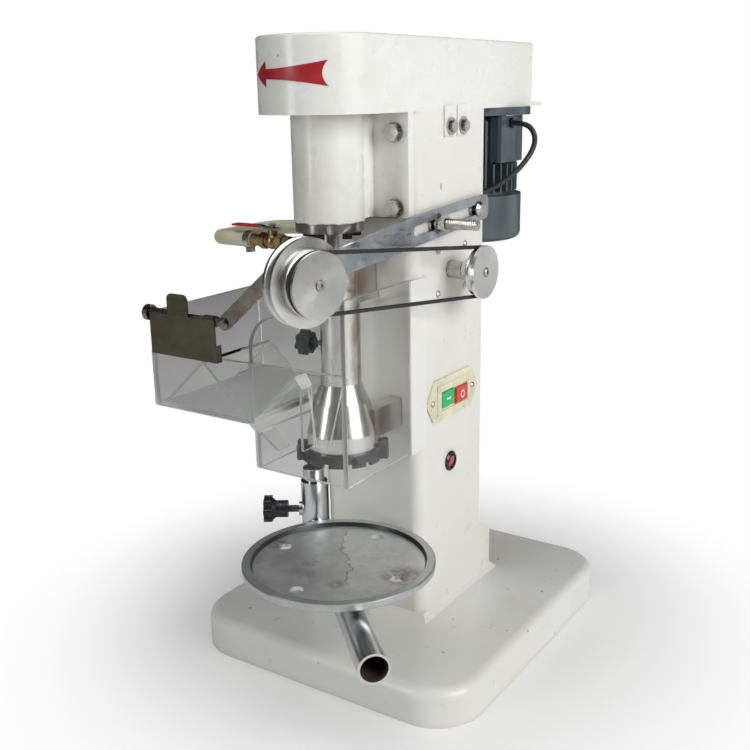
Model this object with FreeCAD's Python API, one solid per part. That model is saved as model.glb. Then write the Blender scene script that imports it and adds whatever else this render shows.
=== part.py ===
import FreeCAD, Part
import math
import os

# Frame: origin in the middle of the base's underside, +X the switch side,
# -Y the front (spindle side), +Z up. All sizes in millimetres.

V = FreeCAD.Vector

# ---- driving sizes ----
BASE_W, BASE_D, BASE_H = 352.0, 392.0, 42.0
BASE_CORNER, BASE_EDGE, BASE_WALL = 55.0, 12.0, 6.0
BOTTOM_T = 3.0

COL_HALF = 65.0            # half width of column, deck and cover
COL_REAR = 58.0
COL_FRONT_LOW, COL_FRONT_TOP = -72.0, -88.0
COL_TOP = 599.0
COL_WALL, COL_CORNER = 6.0, 14.0
FOOT_REAR, FOOT_REAR_Z, FOOT_NOTCH_Z, FOOT_FLARE = 87.0, 93.0, 112.0, 7.0
DECK_T, DECK_REAR = 4.0, 213.0

SPINDLE_Y = -142.0
HOUSING_R, HOUSING_Z0 = 35.0, 496.0
FLANGE_FRONT = -98.0
BEARING_R, BEARING_BORE, BEARING_H = 20.0, 8.5, 12.0
CAP_R, CAP_T = 34.0, 9.0
RUN_FIT = 0.05             # radial running clearance of every shaft
SOFT_GAP = 0.3             # gap between a belt and its pulley

COVER_T, COVER_TOP, COVER_REAR, COVER_EDGE = 2.5, 670.0, 178.0, 3.0
LUG_LOW, LUG_TOP, LUG_BOLT_Z = 573.0, 604.0, 583.0

MOTOR_Y = 140.0
MOTOR_FLANGE_R, MOTOR_FLANGE_T = 74.0, 9.0
MOTOR_R, MOTOR_FIN_R = 46.0, 60.0
TERMINAL_X, TERMINAL_Z0, TERMINAL_Z1 = 47.0, 537.0, 589.0
FAN_R, FAN_TOP, FAN_BOTTOM = 65.0, 499.0, 446.0
PULLEY_Z, PULLEY_W = 624.0, 22.0
SPINDLE_PULLEY_R, MOTOR_PULLEY_R, GROOVE_DEPTH = 46.0, 34.0, 9.0

HEAD_X, HEAD_Y = 8.0, -141.0
NECK_R, NECK_WALL, NECK_TOP = 19.5, 1.5, 450.0
BELL_R, BELL_BOTTOM, BELL_SHOULDER, BELL_ROOT = 37.0, 262.0, 281.0, 332.0
RING_R, RING_H, RING_TEETH = 41.0, 13.0, 12

ACRYLIC = 5.0
BOX_FRONT, BOX_BOTTOM, BOX_TOP = -212.0, 249.0, 434.0
HOPPER_LEFT, HOPPER_FLOOR, HOPPER_TOP, HOPPER_REAR = -190.0, 294.0, 398.0, -35.0
FRONT_TOP = 359.0
INNER_X = -57.0
BOX_LEFT = -50.0
SIDE_PLATE_T, SIDE_PLATE_FRONT, SIDE_PLATE_REAR = 2.0, -98.0, -67.0
SIDE_PLATE_Z0 = 248.0

ARM_T, ARM_GAP = 4.0, 4.0
ARM_BEND_Y, ARM_ANGLE, ARM_LENGTH = -105.0, 15.5, 142.0
ARM_Z, ARM_Z_FRONT, ARM_HALF = 484.0, 455.0, 15.0
STUD_Y, STUD_Z, STUD_TIP = -52.0, 487.6, 118.0
SLOT_Y0, SLOT_Y1, SLOT_HALF = -96.0, 40.0, 5.5

DRIVE_Y, DRIVE_Z, DRIVE_FACE, DRIVE_R = -14.0, 434.0, 108.0, 28.0
DRIVE_GROOVE_R, DRIVE_GROOVE_X = 23.5, 100.5
FEED_R, FEED_BIG_R, FEED_GROOVE_R, FEED_GROOVE_S = 30.5, 41.0, 26.0, 27.0
SMALL_SHAFT_R, CORD_BELT_R = 5.0, 2.0
JOIN_GROW = 0.06           # extra radius of the round belt's joining spheres

POST_X, POST_Y, POST_R, POST_TOP = -78.0, -79.0, 12.5, 201.5
SLEEVE_R, SLEEVE_TOP, SLEEVE_BOTTOM, CLAMP_Z = 16.0, 185.0, 104.0, 149.0
CLAMP_ANGLE = 213.8        # heading of the table's clamp knob round its sleeve
TABLE_TUBE_Z, TABLE_TUBE_R, TABLE_TUBE_WALL = 127.0, 15.5, 2.5
TABLE_REACH = 318.0
TRAY_X, TRAY_Y = 30.0, -183.0
TRAY_R, TRAY_TOP, TRAY_H, TRAY_RECESS, TRAY_RIM = 100.0, 155.5, 8.5, 4.5, 9.0
TRAY_HOLE_RING, TRAY_HOLE_R = 71.0, 7.0

HOSE_R, HOSE_Z = 8.0, 471.0
LEAD_R, LEAD_Z = 3.0, 501.0


# ---- small helpers ----
def box(x0, x1, y0, y1, z0, z1):
    return Part.makeBox(x1 - x0, y1 - y0, z1 - z0, V(x0, y0, z0))


def rod(r, base, direction, length):
    return Part.makeCylinder(r, length, V(*base), V(*direction))


def pipe(r_out, r_in, base, direction, length):
    return rod(r_out, base, direction, length).cut(rod(r_in, base, direction, length))


def polygon(points):
    return Part.Face(Part.makePolygon([V(*p) for p in points] + [V(*points[0])]))


def prism_z(points, z0, z1):
    return polygon([(x, y, z0) for x, y in points]).extrude(V(0, 0, z1 - z0))


def prism_x(points, x0, x1):
    return polygon([(x0, y, z) for y, z in points]).extrude(V(x1 - x0, 0, 0))


def prism_y(points, y0, y1):
    return polygon([(x, y0, z) for x, z in points]).extrude(V(0, y1 - y0, 0))


def turned(profile, base, direction):
    """Solid of revolution of (radius, height) points about the given axis."""
    face = polygon([(r, 0, h) for r, h in profile])
    solid = face.revolve(V(0, 0, 0), V(0, 0, 1), 360)
    solid.Placement = FreeCAD.Placement(V(*base), FreeCAD.Rotation(V(0, 0, 1), V(*direction)))
    return solid


def hexagon(flats, base, direction, length):
    r = flats / math.sqrt(3.0)
    pts = [(r * math.cos(math.radians(60 * i)), r * math.sin(math.radians(60 * i))) for i in range(6)]
    solid = prism_z(pts, 0, length)
    solid.Placement = FreeCAD.Placement(V(*base), FreeCAD.Rotation(V(0, 0, 1), V(*direction)))
    return solid


def fuse(shapes):
    result = shapes[0]
    for s in shapes[1:]:
        result = result.fuse(s)
    return result.removeSplitter()


def group(shapes):
    return Part.makeCompound(shapes)


def vertical_edges(shape):
    return [e for e in shape.Edges if abs(e.Vertexes[0].X - e.Vertexes[-1].X) < 0.01
            and abs(e.Vertexes[0].Y - e.Vertexes[-1].Y) < 0.01 and len(e.Vertexes) == 2]


def bolt(point, direction, washer_r, flats, head):
    """Washer and hexagon head standing on a face."""
    d = V(*direction)
    top = V(*point) + d * 2.0
    washer = rod(washer_r, point, direction, 2.0)
    return washer.fuse(hexagon(flats, tuple(top), direction, head)).removeSplitter()


def star_knob(base, direction, stem_r, stem, radius, thick):
    """Lobed knob on a threaded stem, starting at base."""
    d = V(*direction)
    head0 = V(*base) + d * stem
    body = turned([(0, 0), (radius * 0.62, 0), (radius * 0.82, thick * 0.3), (radius * 0.82, thick),
                   (0, thick)], tuple(head0), direction)
    frame = FreeCAD.Placement(head0, FreeCAD.Rotation(V(0, 0, 1), d))
    lobes = []
    for i in range(7):
        a = 2 * math.pi * i / 7
        p = frame.multVec(V(radius * 0.76 * math.cos(a), radius * 0.76 * math.sin(a), thick * 0.3))
        lobes.append(rod(radius * 0.24, tuple(p), direction, thick * 0.7))
    return fuse([body] + lobes + [rod(stem_r, base, direction, stem + 1)])


# ---- base and column ----
def base():
    shell = box(-BASE_W / 2, BASE_W / 2, -BASE_D / 2, BASE_D / 2, 0, BASE_H)
    shell = shell.makeFillet(BASE_CORNER, vertical_edges(shell))
    top = [e for e in shell.Edges if e.BoundBox.ZMin > BASE_H - 0.01]
    shell = shell.makeFillet(BASE_EDGE, top)
    inset = BASE_WALL
    hollow = box(-BASE_W / 2 + inset, BASE_W / 2 - inset, -BASE_D / 2 + inset, BASE_D / 2 - inset,
                 -1, BASE_H - BASE_EDGE)
    hollow = hollow.makeFillet(BASE_CORNER - inset, vertical_edges(hollow))
    return shell.cut(hollow)


def bottom_plate():
    inset = BASE_WALL
    plate = box(-BASE_W / 2 + inset, BASE_W / 2 - inset, -BASE_D / 2 + inset, BASE_D / 2 - inset, 0, BOTTOM_T)
    return plate.makeFillet(BASE_CORNER - inset, vertical_edges(plate))


def side_profile(inset):
    return [(COL_FRONT_LOW + inset, BASE_H), (COL_FRONT_TOP + inset, HOUSING_Z0 - 20),
            (COL_FRONT_TOP + inset, COL_TOP), (COL_REAR - inset, COL_TOP),
            (COL_REAR - inset, FOOT_NOTCH_Z), (FOOT_REAR - inset, FOOT_REAR_Z), (FOOT_REAR - inset, BASE_H)]


def front_corner_edges(shape):
    return [e for e in shape.Edges if len(e.Vertexes) == 2 and e.BoundBox.YMax < COL_FRONT_LOW + 1
            and e.BoundBox.XLength < 0.01 and e.BoundBox.ZLength > 50]


def foot_flare():
    """Sloping skirt that carries the column's foot out on to the base."""
    low, high, spread = BASE_H, BASE_H + FOOT_FLARE, FOOT_FLARE
    def outline(grow, z):
        corners = [(-COL_HALF - grow, COL_FRONT_LOW - grow), (COL_HALF + grow, COL_FRONT_LOW - grow),
                   (COL_HALF + grow, FOOT_REAR + grow), (-COL_HALF - grow, FOOT_REAR + grow)]
        return Part.makePolygon([V(x, y, z) for x, y in corners + corners[:1]])
    lower = Part.makeLoft([outline(spread, low), outline(spread * 0.35, low + 4)], True, True)
    upper = Part.makeLoft([outline(spread * 0.35, low + 4), outline(0, high)], True, True)
    return lower.fuse(upper)


def column():
    outer = prism_x(side_profile(0), -COL_HALF, COL_HALF)
    outer = outer.makeFillet(COL_CORNER, front_corner_edges(outer))
    outer = outer.fuse(foot_flare())
    inner = prism_x([(y, min(max(z, BASE_H - 1), COL_TOP - COL_WALL)) for y, z in side_profile(COL_WALL)],
                    -COL_HALF + COL_WALL, COL_HALF - COL_WALL)
    window = box(-42, 42, COL_REAR - COL_WALL - 1, COL_REAR + 1, 150, 440)
    switches = box(COL_HALF - COL_WALL - 1, COL_HALF + 1, BUTTONS[0][0] - 1, BUTTONS[1][1] + 1, 279.5, 304)
    rocker = rod(9.0, (COL_HALF - COL_WALL - 1, -13, 215), (1, 0, 0), COL_WALL + 2)
    shaft = rod(9.5, (COL_HALF - COL_WALL - 1, DRIVE_Y, DRIVE_Z), (1, 0, 0), COL_WALL + 2)
    lead = rod(LEAD_R, (40, COL_REAR - COL_WALL - 1, LEAD_Z), (0, 1, 0), COL_WALL + 2)
    mains = rod(5, (-30, FOOT_REAR - COL_WALL - 1, 70), (0, 1, 0), COL_WALL + 2)
    hose = rod(4, (-COL_HALF - 1, -36, HOSE_Z), (1, 0, 0), COL_WALL + 2)
    mark = rod(1.8, (COL_HALF - 1.5, 17, 456), (1, 0, 0), 3)
    notch = box(COL_HALF - 1.5, COL_HALF + 1, -36, -33, 520, 526)
    post_room = rod(19.5, (POST_X, POST_Y, BASE_H), (0, 0, 1), FOOT_FLARE + 4)
    for hole in (post_room, inner, window, switches, rocker, shaft, lead, mains, hose, notch):
        outer = outer.cut(hole)
    return outer.removeSplitter()


def rear_cover():
    plate = box(-50, 50, COL_REAR, COL_REAR + 2, 142, 448)
    slots = [box(-28, 28, COL_REAR - 1, COL_REAR + 3, 180 + 14 * i, 184 + 14 * i) for i in range(6)]
    for s in slots:
        plate = plate.cut(s)
    return plate


def rear_cover_screws():
    spots = [(x, z) for x in (-45, 45) for z in (149, 441)]
    return group([rod(3.5, (x, COL_REAR + 2, z), (0, 1, 0), 2.2) for x, z in spots])


def deck_plate():
    half = COL_HALF - COVER_T - SOFT_GAP
    front = rod(half, (0, SPINDLE_Y, COL_TOP), (0, 0, 1), DECK_T)
    plate = box(-half, half, SPINDLE_Y, DECK_REAR, COL_TOP, COL_TOP + DECK_T).fuse(front)
    plate = plate.cut(rod(BEARING_R + 4, (0, SPINDLE_Y, COL_TOP - 1), (0, 0, 1), DECK_T + 2))
    slot = box(-26, 26, MOTOR_Y - 8, MOTOR_Y + 8, COL_TOP - 1, COL_TOP + DECK_T + 1)
    slot = slot.fuse(rod(26, (0, MOTOR_Y, COL_TOP - 1), (0, 0, 1), DECK_T + 2))
    return plate.cut(slot).removeSplitter()


# ---- spindle ----
def spindle_housing():
    high = COL_TOP - HOUSING_Z0
    body = rod(HOUSING_R, (0, SPINDLE_Y, HOUSING_Z0), (0, 0, 1), high)
    flange = box(-COL_HALF, COL_HALF, FLANGE_FRONT, COL_FRONT_TOP, HOUSING_Z0, COL_TOP)
    web = box(-24, 24, SPINDLE_Y + 24, FLANGE_FRONT + 1, HOUSING_Z0, COL_TOP)
    bore = rod(BEARING_R - 4, (0, SPINDLE_Y, HOUSING_Z0 - 1), (0, 0, 1), high + 2)
    seats = [rod(BEARING_R, (0, SPINDLE_Y, z), (0, 0, 1), BEARING_H)
             for z in (HOUSING_Z0, COL_TOP - BEARING_H)]
    return fuse([body, flange, web]).cut(bore).cut(seats[0]).cut(seats[1])


def housing_bolts():
    spots = [(x, z) for x in (-49, 49) for z in (506.5, 580)]
    return group([bolt((x, FLANGE_FRONT, z), (0, -1, 0), 10, 16, 6.4) for x, z in spots])


def bearing(z):
    return pipe(BEARING_R, BEARING_BORE + RUN_FIT, (0, SPINDLE_Y, z), (0, 0, 1), BEARING_H)


def bearing_cap():
    return pipe(CAP_R, 11, (0, SPINDLE_Y, HOUSING_Z0 - CAP_T), (0, 0, 1), CAP_T)


def cap_screws():
    made = []
    for deg in (-75, -15, 45, 105):
        a = math.radians(deg)
        x, y, z = 27 * math.cos(a), SPINDLE_Y + 27 * math.sin(a), HOUSING_Z0 - CAP_T - 6
        made.append(rod(4.8, (x, y, z), (0, 0, 1), 6).cut(hexagon(5, (x, y, z), (0, 0, 1), 3)))
    return group(made)


def spindle_shaft():
    profile = [(0, 282), (5, 282), (5, 452), (9.0, 462), (9.0, 486), (BEARING_BORE, 486),
               (BEARING_BORE, 646), (7.5, 647), (0, 647)]
    return turned(profile, (0, SPINDLE_Y, 0), (0, 0, 1))


def grooved_pulley(radius, bore, x, y):
    half, root = PULLEY_W / 2, radius - GROOVE_DEPTH
    profile = [(bore, -half), (radius, -half), (radius, -half + 4), (root, -3), (root, 3),
               (radius, half - 4), (radius, half), (bore + 8, half), (bore + 8, half + 5), (bore, half + 5)]
    return turned(profile, (x, y, PULLEY_Z), (0, 0, 1))


def drive_belt():
    """Trapezoid loop round both pulleys, clear of their grooves by the soft gap."""
    a, b = V(0, SPINDLE_Y, 0), V(0, MOTOR_Y, 0)
    big, small = SPINDLE_PULLEY_R, MOTOR_PULLEY_R

    def outline(depth, z):
        ra, rb = big - depth, small - depth
        lean = math.asin((ra - rb) / (MOTOR_Y - SPINDLE_Y))
        c, s = math.cos(lean), math.sin(lean)
        pa, qa = a + V(-ra * c, ra * s, z), a + V(ra * c, ra * s, z)
        pb, qb = b + V(-rb * c, rb * s, z), b + V(rb * c, rb * s, z)
        return Part.Wire([Part.makeLine(pa, pb), Part.Arc(pb, b + V(0, rb, z), qb).toShape(),
                          Part.makeLine(qb, qa), Part.Arc(qa, a + V(0, -ra, z), pa).toShape()])

    def slab(depth, z0, z1):
        return Part.Face(outline(depth, z0)).extrude(V(0, 0, z1 - z0))

    layers = []
    for depth in (1.0, 3.4, 5.8):
        width = 2 * (PULLEY_W / 2 - 4 - 4 * (depth + 2.4) / GROOVE_DEPTH - SOFT_GAP)
        outer = slab(depth, PULLEY_Z - width / 2, PULLEY_Z + width / 2)
        inner = slab(depth + 2.4, PULLEY_Z - width / 2, PULLEY_Z + width / 2)
        layers.append(outer.cut(inner))
    return fuse(layers)


# ---- cover ----
def cover_block(inset, z0, z1):
    half = COL_HALF - inset
    block = box(-half, half, SPINDLE_Y, COVER_REAR - inset, z0, z1)
    return block.fuse(rod(half, (0, SPINDLE_Y, z0), (0, 0, 1), z1 - z0)).removeSplitter()


def belt_cover():
    """Open-bottomed cover; its skirt stands round the deck, whose tail leaves by the rear notch."""
    low = COL_TOP
    outer = cover_block(0, low, COVER_TOP)
    top = [e for e in outer.Edges if e.BoundBox.ZMin > COVER_TOP - 0.01]
    outer = outer.makeFillet(COVER_EDGE, top)
    tail = box(-COL_HALF + COVER_T, COL_HALF - COVER_T, COVER_REAR - COVER_T - 1, COVER_REAR + 1,
               low - 1, low + DECK_T + SOFT_GAP)
    return outer.cut(cover_block(COVER_T, low - 1, COVER_TOP - COVER_T)).cut(tail)


def cover_lugs():
    made = []
    for side in (1, -1):
        x0, x1 = sorted((side * COL_HALF, side * (COL_HALF + 2)))
        for y in (-18, 8):
            tab = box(x0, x1, y - 12, y + 12, LUG_LOW, LUG_TOP)
            hole = rod(3.3, (x0 - 1, y, LUG_BOLT_Z), (1, 0, 0), 4)
            made.append(tab.cut(hole))
    return group(made)


def cover_bolts():
    made = []
    for side in (1, -1):
        for y in (-18, 8):
            made.append(bolt((side * (COL_HALF + 2), y, LUG_BOLT_Z), (side, 0, 0), 9, 10, 4))
    return group(made)


# ---- motor ----
def motor_housing():
    z1 = COL_TOP
    flange = rod(MOTOR_FLANGE_R, (0, MOTOR_Y, z1 - MOTOR_FLANGE_T), (0, 0, 1), MOTOR_FLANGE_T)
    body = rod(MOTOR_R, (0, MOTOR_Y, FAN_TOP), (0, 0, 1), z1 - MOTOR_FLANGE_T - FAN_TOP)
    fins = []
    for i in range(36):
        fin = box(MOTOR_R - 2, MOTOR_FIN_R, -1.2, 1.2, FAN_TOP + 4, z1 - MOTOR_FLANGE_T - 6)
        fin.rotate(V(0, 0, 0), V(0, 0, 1), 10 * i)
        fin.translate(V(0, MOTOR_Y, 0))
        fins.append(fin)
    hollow = rod(MOTOR_R - 5, (0, MOTOR_Y, FAN_TOP + 8), (0, 0, 1), z1 - MOTOR_FLANGE_T - FAN_TOP - 10)
    through = rod(7 + RUN_FIT, (0, MOTOR_Y, FAN_TOP - 1), (0, 0, 1), z1 - FAN_TOP + 2)
    pad = box(MOTOR_R - 8, TERMINAL_X, 114, 166, TERMINAL_Z0 + 3, TERMINAL_Z1 - 3)
    room = box(TERMINAL_X, MOTOR_FIN_R + 2, 108, 174, TERMINAL_Z0 - 2, TERMINAL_Z1 + 1)
    fins = [fin.cut(room) for fin in fins]
    return fuse([flange, body, pad] + fins).cut(hollow).cut(through)


def terminal_box():
    """Box beside the motor with a slightly larger lid, chamfered at its rear corner."""
    x, lid = TERMINAL_X, 4.0
    plan = [(x, 110), (60, 110), (60, 148), (57, 172), (x, 172)]
    case = prism_z([(min(px, 60 - lid), py) for px, py in plan], TERMINAL_Z0 + 1, TERMINAL_Z1 - 1)
    cover = prism_z([(60 - lid, 110), (60, 111.5), (60, 148), (57, 172), (60 - lid, 172)],
                    TERMINAL_Z0, TERMINAL_Z1)
    return case.fuse(cover).removeSplitter()


def fan_cover():
    shell = rod(FAN_R, (0, MOTOR_Y, FAN_BOTTOM), (0, 0, 1), FAN_TOP - FAN_BOTTOM)
    rim = [e for e in shell.Edges if e.BoundBox.ZMax < FAN_BOTTOM + 0.01]
    shell = shell.makeFillet(8, rim)
    shell = shell.cut(rod(FAN_R - 2, (0, MOTOR_Y, FAN_BOTTOM + 2), (0, 0, 1), FAN_TOP - FAN_BOTTOM - 8))
    shell = shell.cut(rod(12, (0, MOTOR_Y, FAN_TOP - 7), (0, 0, 1), 8))
    for x in range(-45, 46, 10):
        reach = math.sqrt((FAN_R - 12) ** 2 - x * x)
        shell = shell.cut(box(x - 2, x + 2, MOTOR_Y - reach, MOTOR_Y + reach, FAN_BOTTOM - 1, FAN_BOTTOM + 3))
    return shell


def motor_shaft():
    fan = [rod(12, (0, MOTOR_Y, FAN_BOTTOM + 14), (0, 0, 1), 24)]
    for i in range(7):
        blade = box(10, FAN_R - 10, -1, 1, FAN_BOTTOM + 14, FAN_BOTTOM + 38)
        blade.rotate(V(0, 0, 0), V(0, 0, 1), 360.0 / 7 * i)
        blade.translate(V(0, MOTOR_Y, 0))
        fan.append(blade)
    core = rod(MOTOR_R - 10, (0, MOTOR_Y, FAN_TOP + 20), (0, 0, 1), 42)
    return fuse([rod(7, (0, MOTOR_Y, FAN_BOTTOM + 10), (0, 0, 1), 640 - FAN_BOTTOM - 10), core] + fan)


# ---- cords: straight runs joined by tangent arcs ----
def cord(points, radius, name):
    pts = [V(*p) for p in points]
    edges, start, radii, length = [], pts[0], [], 0.0
    for i in range(1, len(pts) - 1):
        before, after = pts[i] - pts[i - 1], pts[i + 1] - pts[i]
        turn = before.getAngle(after)
        bend = 0.45 * min(before.Length, after.Length) / math.tan(turn / 2)
        tangent = 0.45 * min(before.Length, after.Length)
        first = pts[i] - before.normalize() * tangent
        last = pts[i] + after.normalize() * tangent
        toward = (first + last) * 0.5 - pts[i]
        middle = pts[i] + toward.normalize() * (bend / math.cos(turn / 2) - bend)
        edges += [Part.makeLine(start, first), Part.Arc(first, middle, last).toShape()]
        length += start.distanceToPoint(first) + bend * turn
        start = last
        radii.append(round(bend, 1))
    edges.append(Part.makeLine(start, pts[-1]))
    length += start.distanceToPoint(pts[-1])
    wire = Part.Wire(edges)
    section = Part.Wire(Part.makeCircle(radius, pts[0], pts[1] - pts[0]))
    tube = wire.makePipeShell([section], True, True)
    expected = math.pi * radius ** 2 * length
    print(name, "length", round(length, 1), "radii", radii, "volume ratio", round(tube.Volume / expected, 4))
    return tube


def motor_lead():
    points = [(64, 134, 581), (79.6, 134, 581), (90, 136, 570), (90, 136, 554), (82, 122, 534),
              (68, 106, 517), (52, 91, 506), (40, 79, LEAD_Z), (40, COL_REAR + 4, LEAD_Z)]
    return cord(points, LEAD_R, "motor_lead")


def lead_glands():
    gland = hexagon(10, (60, 134, 581), (1, 0, 0), 4)
    grommet = rod(7, (40, COL_REAR, LEAD_Z), (0, 1, 0), 4)
    return group([gland, grommet])


def mains_gland():
    nut = hexagon(17, (-30, FOOT_REAR + 2, 70), (0, 1, 0), 7)
    flange = rod(11, (-30, FOOT_REAR, 70), (0, 1, 0), 2)
    tip = rod(6.5, (-30, FOOT_REAR + 9, 70), (0, 1, 0), 6)
    hole = rod(3.5, (-30, FOOT_REAR + 4, 70), (0, 1, 0), 12)
    return fuse([flange, nut, tip]).cut(hole)


def hose_points():
    return [(-100, SPINDLE_Y, HOSE_Z), (-143, SPINDLE_Y, HOSE_Z), (-173, -111, HOSE_Z - 5),
            (-173, -67, HOSE_Z - 5), (-143, -36, HOSE_Z), (-100, -36, HOSE_Z)]


def water_hose():
    return cord(hose_points(), HOSE_R, "water_hose")


# ---- valve and fittings on the left of the spindle ----
def valve_elbow():
    upright = rod(5, (-25, SPINDLE_Y, HOSE_Z), (0, 0, 1), HOUSING_Z0 - CAP_T - HOSE_Z)
    level = rod(6, (-50, SPINDLE_Y, HOSE_Z), (1, 0, 0), 25)
    corner = Part.makeSphere(6, V(-25, SPINDLE_Y, HOSE_Z))
    return fuse([level, corner, upright, rod(7, (-25, SPINDLE_Y, HOSE_Z + 8), (0, 0, 1), 5)])


def valve_body():
    nipple = rod(6.5, (-58, SPINDLE_Y, HOSE_Z), (1, 0, 0), 8)
    ends = [hexagon(15, (x, SPINDLE_Y, HOSE_Z), (1, 0, 0), 7) for x in (-65, -88)]
    ball = Part.makeSphere(8.2, V(-73, SPINDLE_Y, HOSE_Z))
    barrel = rod(6.4, (-85, SPINDLE_Y, HOSE_Z), (1, 0, 0), 24)
    bonnet = rod(5, (-73, SPINDLE_Y, HOSE_Z), (0, 0, 1), 12)
    barb = rod(6.0, (-100, SPINDLE_Y, HOSE_Z), (1, 0, 0), 14)
    return fuse([nipple, ball, barrel, bonnet, barb] + ends)


def valve_handle():
    z = HOSE_Z + 12
    hub = box(-80, -66, SPINDLE_Y - 5, SPINDLE_Y + 5, z, z + 2)
    neck = prism_y([(-80, z), (-80, z + 2), (-88, z + 4), (-88, z + 2)], SPINDLE_Y - 4, SPINDLE_Y + 4)
    grip = box(-124, -87.9, SPINDLE_Y - 5.5, SPINDLE_Y + 5.5, z + 2, z + 4)
    nut = hexagon(7, (-73, SPINDLE_Y, z + 2), (0, 0, 1), 4)
    return fuse([hub, neck, grip, nut])


def hose_clamp(x, y):
    band = pipe(HOSE_R + 1.2, HOSE_R, (x, y, HOSE_Z), (1, 0, 0), 7)
    return band.fuse(box(x + 0.5, x + 6.5, y - 4, y + 4, HOSE_Z - HOSE_R - 5, HOSE_Z - HOSE_R - 0.6)
                     ).removeSplitter()


def hose_barb():
    nut = hexagon(17, (-78, -36, HOSE_Z), (1, 0, 0), 13)
    return nut.fuse(rod(6.0, (-100, -36, HOSE_Z), (1, 0, 0), 23)).removeSplitter()


# ---- slotted arm and feed drive ----
def arm_direction():
    a = math.radians(ARM_ANGLE)
    return V(-math.sin(a), -math.cos(a), 0)


def feed_axis():
    a = math.radians(ARM_ANGLE)
    return V(math.cos(a), -math.sin(a), 0)


def feed_point(s):
    """Point on the feed shaft's axis, s from the outer face of the arm's front end."""
    x = COL_HALF + ARM_GAP + ARM_T
    end = V(x, ARM_BEND_Y, ARM_Z_FRONT) + arm_direction() * ARM_LENGTH
    return end + feed_axis() * s


def slotted_arm():
    x0 = COL_HALF + ARM_GAP
    rise = 11.0
    y_end = 56.0
    rear = [(ARM_BEND_Y, ARM_Z - ARM_HALF), (y_end, ARM_Z + rise - ARM_HALF + 2),
            (y_end, ARM_Z + rise + ARM_HALF - 2), (ARM_BEND_Y, ARM_Z + ARM_HALF)]
    plate = prism_x(rear, x0, x0 + ARM_T)
    corner = [e for e in plate.Edges if e.BoundBox.YMin > y_end - 0.1 and e.BoundBox.XLength > ARM_T - 0.1]
    plate = plate.makeFillet(7, corner)
    slope = rise / (y_end - ARM_BEND_Y)

    def slot_z(y):
        return ARM_Z + slope * (y - ARM_BEND_Y)
    slot = prism_x([(SLOT_Y0, slot_z(SLOT_Y0) - SLOT_HALF), (SLOT_Y1, slot_z(SLOT_Y1) - SLOT_HALF),
                    (SLOT_Y1, slot_z(SLOT_Y1) + SLOT_HALF), (SLOT_Y0, slot_z(SLOT_Y0) + SLOT_HALF)],
                   x0 - 1, x0 + ARM_T + 1)
    for y in (SLOT_Y0, SLOT_Y1):
        slot = slot.fuse(rod(SLOT_HALF, (x0 - 1, y, slot_z(y)), (1, 0, 0), ARM_T + 2))
    front = [(0, ARM_Z - ARM_HALF), (0, ARM_Z + ARM_HALF), (ARM_LENGTH, ARM_Z_FRONT + 12),
             (ARM_LENGTH, ARM_Z_FRONT - 12)]
    d, n = arm_direction(), feed_axis()
    root = V(x0 + ARM_T, ARM_BEND_Y, 0) - n * ARM_T
    face = polygon([tuple(root + d * s + V(0, 0, z)) for s, z in front])
    tip = rod(12, tuple(feed_point(-ARM_T)), tuple(n), ARM_T)
    return fuse([plate.cut(slot), face.extrude(n * ARM_T), tip]).cut(
        rod(8, tuple(feed_point(-ARM_T - 1)), tuple(n), ARM_T + 2))


def arm_stud():
    x = COL_HALF + ARM_GAP + ARM_T
    stud = rod(5, (COL_HALF, STUD_Y, STUD_Z), (1, 0, 0), STUD_TIP - COL_HALF)
    spacer = rod(10, (COL_HALF, STUD_Y, STUD_Z), (1, 0, 0), ARM_GAP)
    washer = rod(10, (x, STUD_Y, STUD_Z), (1, 0, 0), 2)
    nuts = hexagon(16, (x + 2, STUD_Y, STUD_Z), (1, 0, 0), 8)
    return fuse([stud, spacer, washer, nuts])


def arm_screw():
    y, z = 34.0, ARM_Z + 9.5
    x = COL_HALF + ARM_GAP + ARM_T
    return fuse([rod(4.5, (COL_HALF, y, z), (1, 0, 0), ARM_GAP + ARM_T + 1),
                 rod(9, (COL_HALF, y, z), (1, 0, 0), ARM_GAP),
                 turned([(0, 0), (8, 0), (8, 1.5), (5, 4), (0, 4)], (x, y, z), (1, 0, 0))])


def feed_bush():
    return pipe(8, SMALL_SHAFT_R + RUN_FIT, tuple(feed_point(-10)), tuple(feed_axis()), 10.5)


def feed_pulley():
    r, big, root, bore = FEED_R, FEED_BIG_R, FEED_GROOVE_R, SMALL_SHAFT_R
    profile = [(bore, 1), (14, 1), (14, 4), (big, 4), (big, 7), (big - 5, 9), (big - 5, 12), (big, 14),
               (big, 17), (r, 17.5), (r, 23), (root, 25), (root, 29), (r, 31), (r, 34), (bore, 34)]
    return turned(profile, tuple(feed_point(0)), tuple(feed_axis()))


def feed_shaft():
    n = tuple(feed_axis())
    collar = rod(8, tuple(feed_point(-17)), n, 6.5)
    return fuse([rod(SMALL_SHAFT_R, tuple(feed_point(-19)), n, 52), collar])


def drive_boss():
    inner_face = COL_HALF - COL_WALL
    return pipe(9.5, SMALL_SHAFT_R + RUN_FIT, (inner_face, DRIVE_Y, DRIVE_Z), (1, 0, 0), COL_WALL + 17)


def drive_pulley():
    r, root, bore, face = DRIVE_R, DRIVE_GROOVE_R, SMALL_SHAFT_R, DRIVE_FACE
    profile = [(bore, 84), (12, 84), (16, 92), (22, 94), (r - 3, 97), (root, 99), (root, 102.5), (r, 104),
               (r, face), (bore, face)]
    return turned(profile, (0, DRIVE_Y, DRIVE_Z), (1, 0, 0))


def drive_shaft():
    start = (COL_HALF - COL_WALL - 8, DRIVE_Y, DRIVE_Z)
    return rod(SMALL_SHAFT_R, start, (1, 0, 0), DRIVE_FACE - COL_HALF + 13)


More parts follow.
